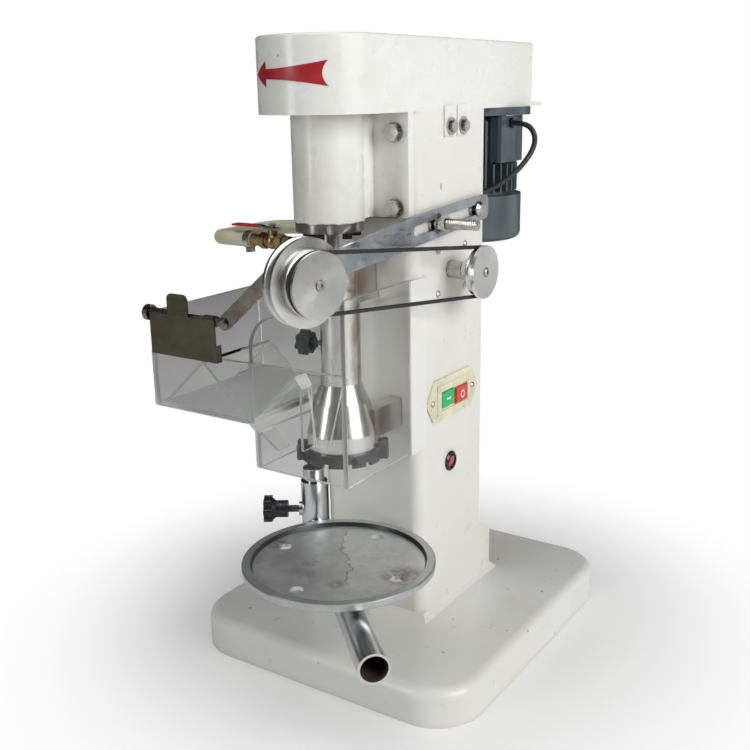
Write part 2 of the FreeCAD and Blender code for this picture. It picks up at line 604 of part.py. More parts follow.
def gearmotor():
    x1 = COL_HALF - COL_WALL
    gearbox = box(14, x1, DRIVE_Y - 40, DRIVE_Y + 40, DRIVE_Z - 32, DRIVE_Z + 32)
    gearbox = gearbox.cut(rod(9.5, (x1 - 20, DRIVE_Y, DRIVE_Z), (1, 0, 0), 21))
    can = rod(25, (-50, DRIVE_Y, DRIVE_Z), (1, 0, 0), 64)
    return gearbox.fuse(can).removeSplitter()


def gearmotor_screws():
    spots = [(y, z) for y in (DRIVE_Y - 27, DRIVE_Y + 31) for z in (DRIVE_Z - 23, DRIVE_Z + 23)]
    return group([turned([(0, 0), (3.6, 0), (3.6, 1), (2.2, 2.4), (0, 2.4)], (COL_HALF, y, z), (1, 0, 0))
                  for y, z in spots])


def feed_belt():
    """Round belt between the drive and feed pulleys, clear of both grooves."""
    rc = CORD_BELT_R
    ra, rb = DRIVE_GROOVE_R + SOFT_GAP + rc, FEED_GROOVE_R + SOFT_GAP + rc
    a, b = V(DRIVE_GROOVE_X, DRIVE_Y, DRIVE_Z), feed_point(FEED_GROOVE_S)
    up = V(0, 0, 1)
    na, nb = V(0, 1, 0), -arm_direction()
    lean = math.asin((b.z - a.z) / (a - b).Length)
    spread = math.asin((rb - ra) / (a - b).Length)

    def on(centre, level, r, angle):
        return centre + level * (r * math.cos(angle)) + up * (r * math.sin(angle))
    top, low = math.pi / 2 - spread - lean, -math.pi / 2 + spread - lean
    pa1, pa2 = on(a, na, ra, top), on(a, na, ra, low)
    pb1, pb2 = on(b, nb, rb, top), on(b, nb, rb, low)
    path = [Part.makeLine(pb1, pa1), Part.Arc(pa1, on(a, na, ra, (top + low) / 2), pa2).toShape(),
            Part.makeLine(pa2, pb2),
            Part.Arc(pb2, on(b, nb, rb, (top + low) / 2 + math.pi), pb1).toShape()]
    pieces = []
    for e in path:
        w = Part.Wire([e])
        ring = Part.Wire(Part.makeCircle(rc, e.valueAt(e.FirstParameter), e.tangentAt(e.FirstParameter)))
        pieces.append(w.makePipeShell([ring], True, True))
    pieces += [Part.makeSphere(rc + JOIN_GROW, p) for p in (pa1, pa2, pb1, pb2)]
    return fuse(pieces)


# ---- pressing flap on its lever ----
ROD_Y, ROD_Z, ROD_R = -254.2, 409.8, 4.0
ROD_X0, ROD_X1 = -141.5, -43.5
PIVOT_X, PIVOT_Z, EAR_Y = 24.0, 467.0, -252.0
LEVER_T, LEVER_HALF, LEVER_GAP = 4.0, 7.0, 0.2


def pivot_ear():
    """Tab on the arm's front end that carries the lever's pivot screw."""
    ear = box(PIVOT_X - 8, PIVOT_X + 7.5, EAR_Y, EAR_Y + 3, PIVOT_Z - 9, PIVOT_Z + 9)
    strut = box(27.5, 31.5, EAR_Y, EAR_Y + 12, PIVOT_Z - 3, PIVOT_Z + 9)
    hole = rod(3 + RUN_FIT, (PIVOT_X, EAR_Y - 1, PIVOT_Z), (0, 1, 0), 5)
    return ear.fuse(strut).cut(hole)


def lever_bar():
    y = EAR_Y - LEVER_GAP - LEVER_T
    a, b = V(PIVOT_X, y, PIVOT_Z), V(ROD_X1, y, ROD_Z)
    along = V(b.x - a.x, 0, b.z - a.z).normalize()
    side = V(-along.z, 0, along.x) * LEVER_HALF
    plate = polygon([tuple(q) for q in (a + side, b + side, b - side, a - side)]).extrude(V(0, LEVER_T, 0))
    ends = [rod(LEVER_HALF, tuple(q), (0, 1, 0), LEVER_T) for q in (a, b)]
    heads = [turned([(0, 0), (5.5, 0), (5.5, 1.2), (3.5, 3), (0, 3)], tuple(q), (0, -1, 0)) for q in (a, b)]
    pin = rod(3, tuple(a), (0, 1, 0), LEVER_T + LEVER_GAP + 3)
    return fuse([plate, pin] + heads + ends)


def press_rod():
    shaft = rod(ROD_R, (ROD_X0, ROD_Y, ROD_Z), (1, 0, 0), ROD_X1 - 1 - ROD_X0)
    cap = rod(8, (ROD_X0 - 5, ROD_Y, ROD_Z), (1, 0, 0), 6)
    return shaft.fuse(cap).removeSplitter()


def press_flap():
    x0, x1, low = ROD_X0 + 3, ROD_X1 - 9, 370.0
    y = ROD_Y - ROD_R - RUN_FIT - 1.5
    sheet = box(x0, x1, y, y + 1.5, low, ROD_Z + 2)
    tab = box(-113.5, -86.5, y, y + 1.5, ROD_Z, 433)
    tab = tab.makeFillet(6, [e for e in tab.Edges if e.BoundBox.ZMin > 432.9 and e.BoundBox.YLength > 1])
    loops = [pipe(ROD_R + RUN_FIT + 1.5, ROD_R + RUN_FIT, (c, ROD_Y, ROD_Z), (1, 0, 0), 14)
             for c in (x0 + 2, x1 - 16)]
    fold = box(x1, x1 + 1.2, y, y + 7, low, low + 17)
    return fuse([sheet, tab, fold] + loops)


# ---- sealing head ----
def bell_profile(grow):
    return [(NECK_R + grow, NECK_TOP), (NECK_R + grow, BELL_ROOT), (NECK_R + 5.5 + grow, BELL_ROOT - 14),
            (NECK_R + 8 + grow, BELL_ROOT - 19), (BELL_R - 0.8 + grow, BELL_SHOULDER),
            (BELL_R + grow, BELL_BOTTOM)]


def bell_head():
    outer, inner = bell_profile(0), bell_profile(-NECK_WALL)
    shell = turned(outer + inner[::-1], (HEAD_X, HEAD_Y, 0), (0, 0, 1))
    nut = rod(6, (HEAD_X - NECK_R + 1, HEAD_Y, 368), (-1, 0, 0), 5).cut(
        rod(NECK_R - 0.5, (HEAD_X, HEAD_Y, 350), (0, 0, 1), 40))
    stem_hole = rod(4 + RUN_FIT, (HEAD_X - NECK_R - 8, HEAD_Y, 368), (1, 0, 0), 14)
    return shell.fuse(nut).cut(stem_hole)


def bell_brackets():
    solid = turned([(0, NECK_TOP + 20)] + [(r, z) if i else (r, z + 20) for i, (r, z) in
                                           enumerate(bell_profile(0))] + [(0, BELL_BOTTOM)],
                   (HEAD_X, HEAD_Y, 0), (0, 0, 1))
    front = prism_x(side_profile(0), -COL_HALF, COL_HALF)
    lower = box(28, 42, HEAD_Y + 8, COL_FRONT_LOW, 274, 304)
    upper = box(HEAD_X + 4, HEAD_X + 10, HEAD_Y + 12, COL_FRONT_LOW, 412, 446)
    return group([lower.cut(solid).cut(front), upper.cut(solid).cut(front)])


def clamp_ring():
    z1 = BELL_BOTTOM + 2
    ring = pipe(RING_R, BELL_R + 0.1, (HEAD_X, HEAD_Y, z1 - RING_H), (0, 0, 1), RING_H)
    for i in range(RING_TEETH):
        a = math.radians(360.0 / RING_TEETH * i + 12)
        gap = box(BELL_R - 1, RING_R + 2, -3, 3, z1 - RING_H - 1, z1 - RING_H + 4.5)
        gap.rotate(V(0, 0, 0), V(0, 0, 1), math.degrees(a))
        gap.translate(V(HEAD_X, HEAD_Y, 0))
        ring = ring.cut(gap)
    lugs = []
    for deg in (20, 48, 200, 228):
        lug = box(RING_R - 2, RING_R + 6, -3.5, 3.5, z1 - RING_H + 1, z1 + 2)
        lug.rotate(V(0, 0, 0), V(0, 0, 1), deg)
        lug.translate(V(HEAD_X, HEAD_Y, 0))
        lugs.append(lug)
    return fuse([ring] + lugs)


def ring_screws():
    made = []
    ring = rod(RING_R, (HEAD_X, HEAD_Y, BELL_BOTTOM - 20), (0, 0, 1), 40)
    for deg in (-40, -110, 90):
        a = math.radians(deg)
        out = V(math.cos(a), math.sin(a), 0)
        p = V(HEAD_X, HEAD_Y, BELL_BOTTOM - 3) + out * (RING_R - 2)
        head = rod(2.8, tuple(p), tuple(out), 6).cut(ring)
        made.append(head.cut(hexagon(2.5, tuple(p + out * 4), tuple(out), 2.5)))
    return group(made)


def seal_head():
    return turned([(5, 282), (8, 282), (8, 290), (18, 291), (18, 299), (5, 304)][::-1],
                  (0, SPINDLE_Y, 0), (0, 0, 1)).fuse(
        rod(8, (0, SPINDLE_Y, 278), (0, 0, 1), 4)).removeSplitter()


def seal_pad():
    return turned([(8, 282), (19, 280), (19, 291), (8, 290)], (0, SPINDLE_Y, 0), (0, 0, 1))


# ---- acrylic guard and feed hopper ----
def right_panel():
    return box(COL_HALF - ACRYLIC, COL_HALF, BOX_FRONT, COL_FRONT_TOP - 0.5, BOX_BOTTOM, BOX_TOP)


def side_plate():
    plate = box(COL_HALF, COL_HALF + SIDE_PLATE_T, SIDE_PLATE_FRONT, SIDE_PLATE_REAR, SIDE_PLATE_Z0, BOX_TOP)
    return plate


def front_panel():
    x0, x1 = HOPPER_LEFT, COL_HALF - ACRYLIC
    outline = [(x0, HOPPER_FLOOR), (INNER_X, HOPPER_FLOOR), (BOX_LEFT, HOPPER_FLOOR - 7),
               (BOX_LEFT, BOX_BOTTOM), (x1, BOX_BOTTOM), (x1, FRONT_TOP + 2), (x0, FRONT_TOP - 3)]
    return prism_y(outline, BOX_FRONT, BOX_FRONT + ACRYLIC)


def round_topped(x0, y0, y1, z0, z1, r):
    panel = box(x0, x0 + ACRYLIC, y0, y1, z0, z1)
    corner = [e for e in panel.Edges if e.BoundBox.ZMin > z1 - 0.01 and e.BoundBox.YMax < y0 + 0.01]
    return panel.makeFillet(r, corner)


def left_panel():
    return round_topped(HOPPER_LEFT, BOX_FRONT + ACRYLIC, HOPPER_REAR, HOPPER_FLOOR, HOPPER_TOP, 10)


def inner_wall():
    return round_topped(INNER_X, BOX_FRONT + ACRYLIC, COL_FRONT_TOP - 1, HOPPER_FLOOR, HOPPER_TOP, 26)


def box_left_wall():
    return box(BOX_LEFT, BOX_LEFT + ACRYLIC, BOX_FRONT + ACRYLIC, COL_FRONT_TOP - 1,
               BOX_BOTTOM, HOPPER_FLOOR - 7)


def floor_panel():
    x0 = HOPPER_LEFT + ACRYLIC
    wide = box(x0, INNER_X, BOX_FRONT + ACRYLIC, HOPPER_REAR - ACRYLIC,
               HOPPER_FLOOR, HOPPER_FLOOR + ACRYLIC)
    return wide.cut(box(-COL_HALF - 0.5, COL_HALF, COL_FRONT_TOP - 1, 0, 0, COL_TOP))


def rear_panel():
    return box(HOPPER_LEFT + ACRYLIC, -COL_HALF, HOPPER_REAR - ACRYLIC, HOPPER_REAR,
               HOPPER_FLOOR, HOPPER_TOP)


def sloping_sheet(a, b, thick, y0, y1):
    """Sheet between two (x, z) points, its thickness laid below the line."""
    dx, dz = b[0] - a[0], b[1] - a[1]
    size = math.hypot(dx, dz)
    nx, nz = dz / size, -dx / size
    if nz > 0:
        nx, nz = -nx, -nz
    pts = [a, b, (b[0] + nx * thick, b[1] + nz * thick), (a[0] + nx * thick, a[1] + nz * thick)]
    return prism_y(pts, y0, y1)


def vee_left():
    y0, y1 = BOX_FRONT + ACRYLIC, BOX_FRONT + ACRYLIC + 105
    ridge, floor = (-119, 353), HOPPER_FLOOR + ACRYLIC
    keep = box(HOPPER_LEFT + ACRYLIC, INNER_X, y0, y1, floor, 360)
    left = sloping_sheet((-178, floor), ridge, 3, y0, y1)
    right = sloping_sheet(ridge, (-59, floor), 3, y0, y1)
    return left.fuse(right).common(keep).removeSplitter()


def vee_right():
    y0, y1 = BOX_FRONT + ACRYLIC, BOX_FRONT + ACRYLIC + 18
    slope = sloping_sheet((INNER_X + ACRYLIC + 0.5, 304), (1, 352), 3, y0, y1)
    cap = sloping_sheet((1, 352), (9, 341), 3, y0, y1)
    drop = box(6.5, 9.5, y0, y1, 276, 341)
    keep = box(INNER_X + ACRYLIC, 10, y0, y1, 270, 360)
    return fuse([slope, cap, drop]).common(keep)


def chute_sheet():
    y0, y1 = BOX_FRONT + ACRYLIC, BOX_FRONT + ACRYLIC + 18
    sheet = sloping_sheet((BOX_LEFT + ACRYLIC, 289), (-22, 272.5), 3, y0, y1)
    return sheet.cut(box(-80, BOX_LEFT + ACRYLIC, -300, 0, 200, 300))


def funnel_sheet():
    """Leaning sheet that closes the funnel behind the front panel's right half."""
    def leaning(x, z):
        return (x, BOX_FRONT + ACRYLIC + (FRONT_TOP - z) * 0.17, z)
    corners = ((14.5, 342), (COL_HALF - ACRYLIC, 358), (31, 281), (14.5, 277))
    face = polygon([leaning(x, z) for x, z in corners])
    return face.extrude(V(0, 3, 0))


# ---- table ----
def table_direction():
    return V(TRAY_X - POST_X, TRAY_Y - POST_Y, 0).normalize()


def post():
    shaft = rod(POST_R, (POST_X, POST_Y, BASE_H), (0, 0, 1), POST_TOP - BASE_H)
    rim = [e for e in shaft.Edges if e.BoundBox.ZMin > POST_TOP - 0.01]
    shaft = shaft.makeFillet(1.2, rim)
    foot = turned([(0, 0), (17.5, 0), (17.5, 5), (15.5, 7), (0, 7)], (POST_X, POST_Y, BASE_H), (0, 0, 1))
    return shaft.fuse(foot).removeSplitter()


def height_collar():
    ring = pipe(16.4, POST_R + RUN_FIT, (POST_X, POST_Y, SLEEVE_BOTTOM - 12), (0, 0, 1), 12)
    slit = box(POST_X - 30, POST_X, POST_Y - 1, POST_Y + 1, SLEEVE_BOTTOM - 13, SLEEVE_BOTTOM + 1)
    return ring.cut(slit)


def clamp_direction():
    a = math.radians(CLAMP_ANGLE)
    return V(math.cos(a), math.sin(a), 0)


def clamp_point(s):
    """Point on the clamp knob's axis, s out from the middle of the post."""
    return tuple(V(POST_X, POST_Y, CLAMP_Z) + clamp_direction() * s)


def table_arm():
    d = table_direction()
    centre = V(POST_X, POST_Y, TABLE_TUBE_Z)
    sleeve = rod(SLEEVE_R, (POST_X, POST_Y, SLEEVE_BOTTOM), (0, 0, 1), SLEEVE_TOP - SLEEVE_BOTTOM)
    start = centre + d * 8
    tube = rod(TABLE_TUBE_R, tuple(start), tuple(d), TABLE_REACH - 8)
    inside = rod(TABLE_TUBE_R - TABLE_TUBE_WALL, tuple(centre + d * (SLEEVE_R + 3)), tuple(d), TABLE_REACH)
    bore = rod(POST_R + RUN_FIT, (POST_X, POST_Y, SLEEVE_BOTTOM - 1), (0, 0, 1), 200)
    aim = tuple(clamp_direction())
    boss = rod(8, clamp_point(SLEEVE_R - 2), aim, 5)
    hole = rod(4 + RUN_FIT, clamp_point(POST_R - 2), aim, 12)
    return fuse([sleeve, tube, boss]).cut(bore).cut(inside).cut(hole)


def tray_hub():
    """Saddle between the table tube and the round tray."""
    top = TRAY_TOP - TRAY_H
    d = table_direction()
    p0 = V(TRAY_X, TRAY_Y, TABLE_TUBE_Z) - d * 50
    tube = rod(TABLE_TUBE_R, tuple(p0), tuple(d), 100)
    pad = rod(28, (TRAY_X, TRAY_Y, TABLE_TUBE_Z + 6), (0, 0, 1), top - TABLE_TUBE_Z - 6)
    return pad.cut(tube)


def tray():
    r, top, low = TRAY_R, TRAY_TOP, TRAY_TOP - TRAY_H
    profile = [(0, low), (r - 2, low), (r, low + 2), (r, top - 1), (r - 1, top), (r - TRAY_RIM, top),
               (r - TRAY_RIM - 1.5, top - TRAY_RECESS), (0, top - TRAY_RECESS)]
    plate = turned(profile, (TRAY_X, TRAY_Y, 0), (0, 0, 1))
    for i in range(4):
        a = math.radians(90 * i)
        x, y = TRAY_X + TRAY_HOLE_RING * math.cos(a), TRAY_Y + TRAY_HOLE_RING * math.sin(a)
        plate = plate.cut(rod(TRAY_HOLE_R, (x, y, low - 1), (0, 0, 1), TRAY_H + 2))
    return plate


# ---- switches ----
SWITCH_Z, SWITCH_Y0, SWITCH_Y1 = 293.0, -67.5, 47.0
ROCKER_SWING = 14.0        # degrees
BUTTONS = [(-36.5, -10.0, 283.0, 301.0), (-7.0, 18.0, 281.5, 299.5)]   # y from, to, z from, to


def switch_plate():
    z0, z1, tip = SWITCH_Z - 23.8, SWITCH_Z + 23.8, 16.0
    outline = [(SWITCH_Y0, SWITCH_Z), (SWITCH_Y0 + tip, z0), (SWITCH_Y1 - tip, z0), (SWITCH_Y1, SWITCH_Z),
               (SWITCH_Y1 - tip, z1), (SWITCH_Y0 + tip, z1)]
    plate = prism_x(outline, COL_HALF, COL_HALF + 2)
    plate = plate.makeFillet(7, [e for e in plate.Edges if e.BoundBox.XLength > 1.9])
    for y0, y1, z0, z1 in BUTTONS:
        plate = plate.cut(box(COL_HALF - 1, COL_HALF + 3, y0 - 0.4, y1 + 0.4, z0 - 0.4, z1 + 0.4))
    return plate


def plate_screws():
    head = [(0, 0), (3.4, 0), (3.4, 0.8), (2, 2), (0, 2)]
    spots = (SWITCH_Y0 + 12.5, SWITCH_Y1 - 13.5)
    return group([turned(head, (COL_HALF + 2, y, SWITCH_Z), (1, 0, 0)) for y in spots])


def switch_block():
    y0, y1 = BUTTONS[0][0] - 6, BUTTONS[1][1] + 7
    return box(COL_HALF - 34, COL_HALF - COL_WALL, y0, y1, 268, 314)


def push_button(i, proud):
    y0, y1, z0, z1 = BUTTONS[i]
    cap = box(COL_HALF - 1.5, COL_HALF + proud, y0, y1, z0, z1)
    face = [e for e in cap.Edges if e.BoundBox.XMin > COL_HALF + proud - 0.01]
    return cap.makeFillet(1.5, face)


def rocker_bezel():
    ring = turned([(8.2, 0), (11.5, 0), (11.5, 1.5), (9.8, 3), (8.2, 3)], (COL_HALF, -13, 215), (1, 0, 0))
    case = pipe(8.9, 8.2, (COL_HALF - 16, -13, 215), (1, 0, 0), 16)
    return ring.fuse(case).removeSplitter()


def rocker():
    """Rocker trimmed so that it clears its round bezel at both ends of its swing."""
    pts = [(-3.5, 209), (1.2, 208.2), (3.6, 221.8), (-3.5, 221)]
    face = polygon([(COL_HALF + x, -18, z) for x, z in pts])
    body = face.extrude(V(0, 10, 0))
    level = rod(7.6, (COL_HALF - 12, -13, 215), (1, 0, 0), 24)
    tipped = level.copy()
    tipped.rotate(V(COL_HALF - 2.5, -13, 215), V(0, 1, 0), ROCKER_SWING)
    return body.common(level).common(tipped)


def arm_with_tab():
    return slotted_arm().fuse(pivot_ear()).removeSplitter()


def head_knob():
    return star_knob((HEAD_X - NECK_R + 1.0, HEAD_Y, 368), (-1, 0, 0), 4, 16, 13.5, 14)


def clamp_knob():
    start, hub, head = POST_R + 1.0, 32.0, 46.0
    aim = tuple(clamp_direction())
    knob = star_knob(clamp_point(start), aim, 4, head - start, 16, 14)
    return knob.fuse(rod(10, clamp_point(hub), aim, head + 1 - hub)).removeSplitter()


# ---- nodes that are made of several like pieces ----
def bearings():
    return group([bearing(HOUSING_Z0), bearing(COL_TOP - BEARING_H)])


def covered_belt_guard():
    return group([belt_cover(), cover_lugs()])


def arm_fasteners():
    return group([arm_stud(), arm_screw()])


def panel_screws():
    return group([rear_cover_screws(), plate_screws(), gearmotor_screws()])


def socket_screws():
    return group([cap_screws(), ring_screws()])


def cable_glands():
    return group([lead_glands(), mains_gland()])


def drive_train():
    return drive_pulley().fuse(drive_shaft()).removeSplitter()


def gearmotor_with_boss():
    return group([gearmotor(), drive_boss()])


def lever_and_rod():
    return lever_bar().fuse(press_rod()).removeSplitter()


def bell_with_brackets():
    return group([bell_head(), bell_brackets()])


def hopper_panels():
    return group([left_panel(), rear_panel(), floor_panel()])


def inner_walls():
    return group([inner_wall(), box_left_wall()])


def hopper_sheets():
    return group([vee_left(), vee_right(), chute_sheet(), funnel_sheet()])


def hose_fittings():
    return group([hose_barb(), hose_clamp(-107.5, SPINDLE_Y), hose_clamp(-107.5, -36)])


def switch_panel():
    return group([switch_plate(), switch_block()])


def green_button():
    return push_button(0, 4.0)


def red_button():
    return push_button(1, 5.5)


def spindle_pulley():
    return grooved_pulley(SPINDLE_PULLEY_R, BEARING_BORE, 0, SPINDLE_Y)


def motor_pulley():
    return grooved_pulley(MOTOR_PULLEY_R, 7, 0, MOTOR_Y)


NODES = {
    "base": base, "bottom_plate": bottom_plate, "column": column, "rear_cover": rear_cover,
    "deck_plate": deck_plate, "spindle_housing": spindle_housing, "housing_bolts": housing_bolts,
    "bearings": bearings, "bearing_cap": bearing_cap, "spindle_shaft": spindle_shaft,
    "spindle_pulley": spindle_pulley, "motor_pulley": motor_pulley, "drive_belt": drive_belt,
    "belt_cover": covered_belt_guard, "cover_bolts": cover_bolts, "motor_housing": motor_housing,
    "terminal_box": terminal_box, "fan_cover": fan_cover, "motor_shaft": motor_shaft,
    "motor_lead": motor_lead, "cable_glands": cable_glands, "slotted_arm": arm_with_tab,
    "arm_fasteners": arm_fasteners, "feed_bush": feed_bush, "feed_pulley": feed_pulley,
    "feed_shaft": feed_shaft, "drive_pulley": drive_train, "gearmotor": gearmotor_with_boss,
    "feed_belt": feed_belt, "press_lever": lever_and_rod, "press_flap": press_flap,
    "bell_head": bell_with_brackets, "clamp_ring": clamp_ring, "head_knob": head_knob,
    "seal_head": seal_head, "seal_pad": seal_pad, "guard_right": right_panel, "side_plate": side_plate,
    "guard_front": front_panel, "hopper_panels": hopper_panels, "inner_walls": inner_walls,
    "hopper_sheets": hopper_sheets, "valve_elbow": valve_elbow, "valve_body": valve_body,
    "valve_handle": valve_handle, "water_hose": water_hose, "hose_fittings": hose_fittings,
    "post": post, "height_collar": height_collar, "table_arm": table_arm, "clamp_knob": clamp_knob,
    "tray_hub": tray_hub, "tray": tray, "switch_plate": switch_panel, "green_button": green_button,
    "red_button": red_button, "rocker_bezel": rocker_bezel, "rocker": rocker,
    "panel_screws": panel_screws, "socket_screws": socket_screws,
}


def main():
    os.makedirs("parts", exist_ok=True)
    for name, make in NODES.items():
        shape = make()
        if not shape.isValid() or shape.Volume <= 0:
            print("CHECK", name, shape.isValid(), shape.Volume)
        shape.exportStep("parts/" + name + ".step")
    print(len(NODES), "nodes")


main()
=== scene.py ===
import math

import bmesh
import bpy
from mathutils import Matrix, Vector


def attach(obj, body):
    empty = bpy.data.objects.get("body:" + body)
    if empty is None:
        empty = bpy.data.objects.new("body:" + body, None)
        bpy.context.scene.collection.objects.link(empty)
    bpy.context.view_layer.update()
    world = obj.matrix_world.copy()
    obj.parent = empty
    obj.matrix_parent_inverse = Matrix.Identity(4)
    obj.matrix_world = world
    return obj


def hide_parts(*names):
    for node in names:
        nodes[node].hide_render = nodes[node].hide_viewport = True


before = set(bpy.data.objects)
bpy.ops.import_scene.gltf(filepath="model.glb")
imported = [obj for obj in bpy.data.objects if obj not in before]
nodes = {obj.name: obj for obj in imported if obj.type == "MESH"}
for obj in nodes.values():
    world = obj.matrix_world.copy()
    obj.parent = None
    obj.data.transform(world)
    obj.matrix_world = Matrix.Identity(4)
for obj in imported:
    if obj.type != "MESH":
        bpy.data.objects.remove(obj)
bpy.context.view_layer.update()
scene = bpy.context.scene

# ---- camera: solved from the edges of the base and the column ----
YAW, PITCH, ROLL = math.radians(33.843), math.radians(15.712), math.radians(-0.938)
back = Vector((math.sin(YAW) * math.cos(PITCH), -math.cos(YAW) * math.cos(PITCH), math.sin(PITCH)))
right = Vector((math.cos(YAW), math.sin(YAW), 0))
up = back.cross(right)
right, up = (right * math.cos(ROLL) + up * math.sin(ROLL), up * math.cos(ROLL) - right * math.sin(ROLL))
lens = bpy.data.cameras.new("view")
lens.lens, lens.sensor_width = 48.63, 36
camera = bpy.data.objects.new("view", lens)
CAMERA_PLACE = (0.5958, -0.9542, 0.620)
camera.matrix_world = Matrix.Translation(CAMERA_PLACE) @ Matrix((right, up, back)).transposed().to_4x4()
scene.collection.objects.link(camera)
scene.camera = camera
scene.view_settings.view_transform = "Standard"
scene.cycles.max_bounces = 16
scene.cycles.transmission_bounces = 16
scene.cycles.transparent_max_bounces = 16


# ---- procedural materials ----
COLOUR_A, COLOUR_B, COLOUR_OUT = 6, 7, 2  # sockets of a Mix node that mixes colours


class Paint:
    """One procedural material and the short names its nodes are made with."""

    def __init__(self, name, **sockets):
        self.material = bpy.data.materials.new(name)
        self.material.use_nodes = True
        self.tree = self.material.node_tree
        self.shader = self.tree.nodes["Principled BSDF"]
        self.place = self.tree.nodes.new("ShaderNodeTexCoord").outputs["Object"]
        self.set(**sockets)

    def set(self, **sockets):
        for key, value in sockets.items():
            self.put(self.shader.inputs[key.replace("_", " ")], value)
        return self

    def put(self, socket, value):
        if isinstance(value, bpy.types.NodeSocket):
            self.tree.links.new(value, socket)
        elif hasattr(value, "__len__") and len(value) == 3 and socket.type == "RGBA":
            socket.default_value = (*value, 1)
        else:
            socket.default_value = value

    def node(self, kind, inputs=(), **settings):
        made = self.tree.nodes.new("ShaderNode" + kind)
        for key, value in settings.items():
            setattr(made, key, value)
        for key, value in dict(inputs).items():
            self.put(made.inputs[key], value)
        return made

    def stretched(self, by):
        return self.node("Mapping", {"Vector": self.place, "Scale": by}).outputs[0]

    def noise(self, scale, detail=4.0, rough=0.55, stretch=None):
        place = self.stretched(stretch) if stretch else self.place
        return self.node("TexNoise", {"Vector": place, "Scale": scale, "Detail": detail,
                                      "Roughness": rough}).outputs["Fac"]

    def cells(self, scale, feature="F1", out="Distance"):
        return self.node("TexVoronoi", {"Vector": self.place, "Scale": scale}, feature=feature).outputs[out]

    def span(self, value, low, high, to_low=0.0, to_high=1.0):
        return self.node("MapRange", {"Value": value, "From Min": low, "From Max": high, "To Min": to_low,
                                      "To Max": to_high}, interpolation_type="SMOOTHSTEP").outputs[0]

    def sum(self, a, b, kind="ADD"):
        return self.node("Math", {0: a, 1: b}, operation=kind).outputs[0]

    def mix(self, share, a, b):
        made = self.node("Mix", {"Factor": share}, data_type="RGBA")
        self.put(made.inputs[COLOUR_A], a)
        self.put(made.inputs[COLOUR_B], b)
        return made.outputs[COLOUR_OUT]

    def part(self, axis):
        return self.node("SeparateXYZ", {0: self.place}).outputs["XYZ".index(axis)]

    def facing(self, axis):
        normal = self.node("NewGeometry").outputs["Normal"]
        return self.node("SeparateXYZ", {0: normal}).outputs["XYZ".index(axis)]

    def from_point(self, point):
        return self.node("VectorMath", {0: self.place, 1: point}, operation="SUBTRACT").outputs[0]

    def around(self, point, axis):
        """Vector square to the axis, as long as the distance from it."""
        return self.node("VectorMath", {0: axis, 1: self.from_point(point)},
                         operation="CROSS_PRODUCT").outputs[0]

    def length(self, vector):
        return self.node("VectorMath", {0: vector}, operation="LENGTH").outputs["Value"]

    def spot(self, point, size, soft=0.4):
        return self.span(self.length(self.from_point(point)), size * (1 - soft), size * (1 + soft), 1, 0)

    # Painted shade: ambient occlusion darkens the colour in creases, corners and between parts.
    def painted_crease_shade(self, reach=0.012, to=0.6):
        shade = self.node("AmbientOcclusion", {"Distance": reach}, samples=4).outputs["AO"]
        return self.span(shade, 0.25, 0.95, to, 0)

    def bump(self, height, strength, distance=0.001):
        made = self.node("Bump", {"Height": height, "Strength": strength, "Distance": distance})
        old = self.shader.inputs["Normal"]
        if old.links:
            self.tree.links.new(old.links[0].from_socket, made.inputs["Normal"])
        self.put(old, made.outputs[0])
        return self


def enamel(name, colour, dirt_and_shade=(0.42, 0.38, 0.32), peel=0.05, rough=0.34, specks=True):
    """Sprayed enamel with orange peel, faint yellowing, rubbed dirt, painted shade in its creases and small
    chips.
    """
    p = Paint(name)
    yellowed = tuple(c * k for c, k in zip(colour, (0.95, 0.94, 0.90)))
    tone = p.mix(p.span(p.noise(7, 5), 0.35, 0.7), colour, yellowed)
    rubs = p.sum(p.span(p.noise(26, 8, 0.7), 0.60, 0.78, 0, 0.16), p.span(p.noise(90, 3), 0.66, 0.8, 0, 0.10))
    tone = p.mix(rubs, tone, dirt_and_shade)
    # Painted shade: the enamel darkens to the dirt colour in creases and corners.
    tone = p.mix(p.painted_crease_shade(0.010, 0.42), tone, dirt_and_shade)
    if specks:
        chips = p.sum(p.span(p.cells(34), 0.030, 0.045, 1, 0), p.span(p.noise(9, 2), 0.56, 0.62), "MULTIPLY")
        tone = p.mix(chips, tone, (0.16, 0.11, 0.07))
    p.set(Base_Color=tone, Roughness=p.span(p.noise(40, 6), 0.3, 0.75, rough - 0.07, rough + 0.14))
    p.set(Specular_IOR_Level=0.5, Coat_Weight=0.25, Coat_Roughness=0.18)
    p.bump(p.noise(420, 2), peel, 0.0006)
    p.bump(p.noise(11, 2), 0.06, 0.004)
    return p


def metal(name, colour, rough=0.28, tint=None, tint_share=0.35, grain=(1, 1, 1), grain_scale=300,
          scratch=0.05, wear=1.0):
    """Bare or plated metal with a grain, a tint that comes and goes, polish made uneven by wear, and painted
    shade in its creases.
    """
    p = Paint(name, Metallic=1.0)
    dull = tuple(c * (1 - 0.20 * wear) for c in colour)
    tone = p.mix(p.span(p.noise(34, 6, 0.65), 0.38, 0.68), colour, dull)
    if tint:
        tone = p.mix(p.span(p.noise(60, 7, 0.7), 0.52, 0.72, 0, tint_share), tone, tint)
    # Painted shade: the colour darkens to near black in creases and corners.
    p.set(Base_Color=p.mix(p.painted_crease_shade(0.006, 0.65), tone, (0.05, 0.042, 0.035)))
    fine = p.noise(grain_scale, 3, 0.6, grain)
    low, high = rough * (1 - 0.28 * wear), rough * (1 + 0.35 * wear)
    p.set(Roughness=p.sum(p.span(p.noise(55, 6), 0.3, 0.75, low, high),
                          p.span(fine, 0.3, 0.7, -0.05 * wear, 0.06 * wear)))
    p.bump(fine, scratch, 0.0005)
    return p


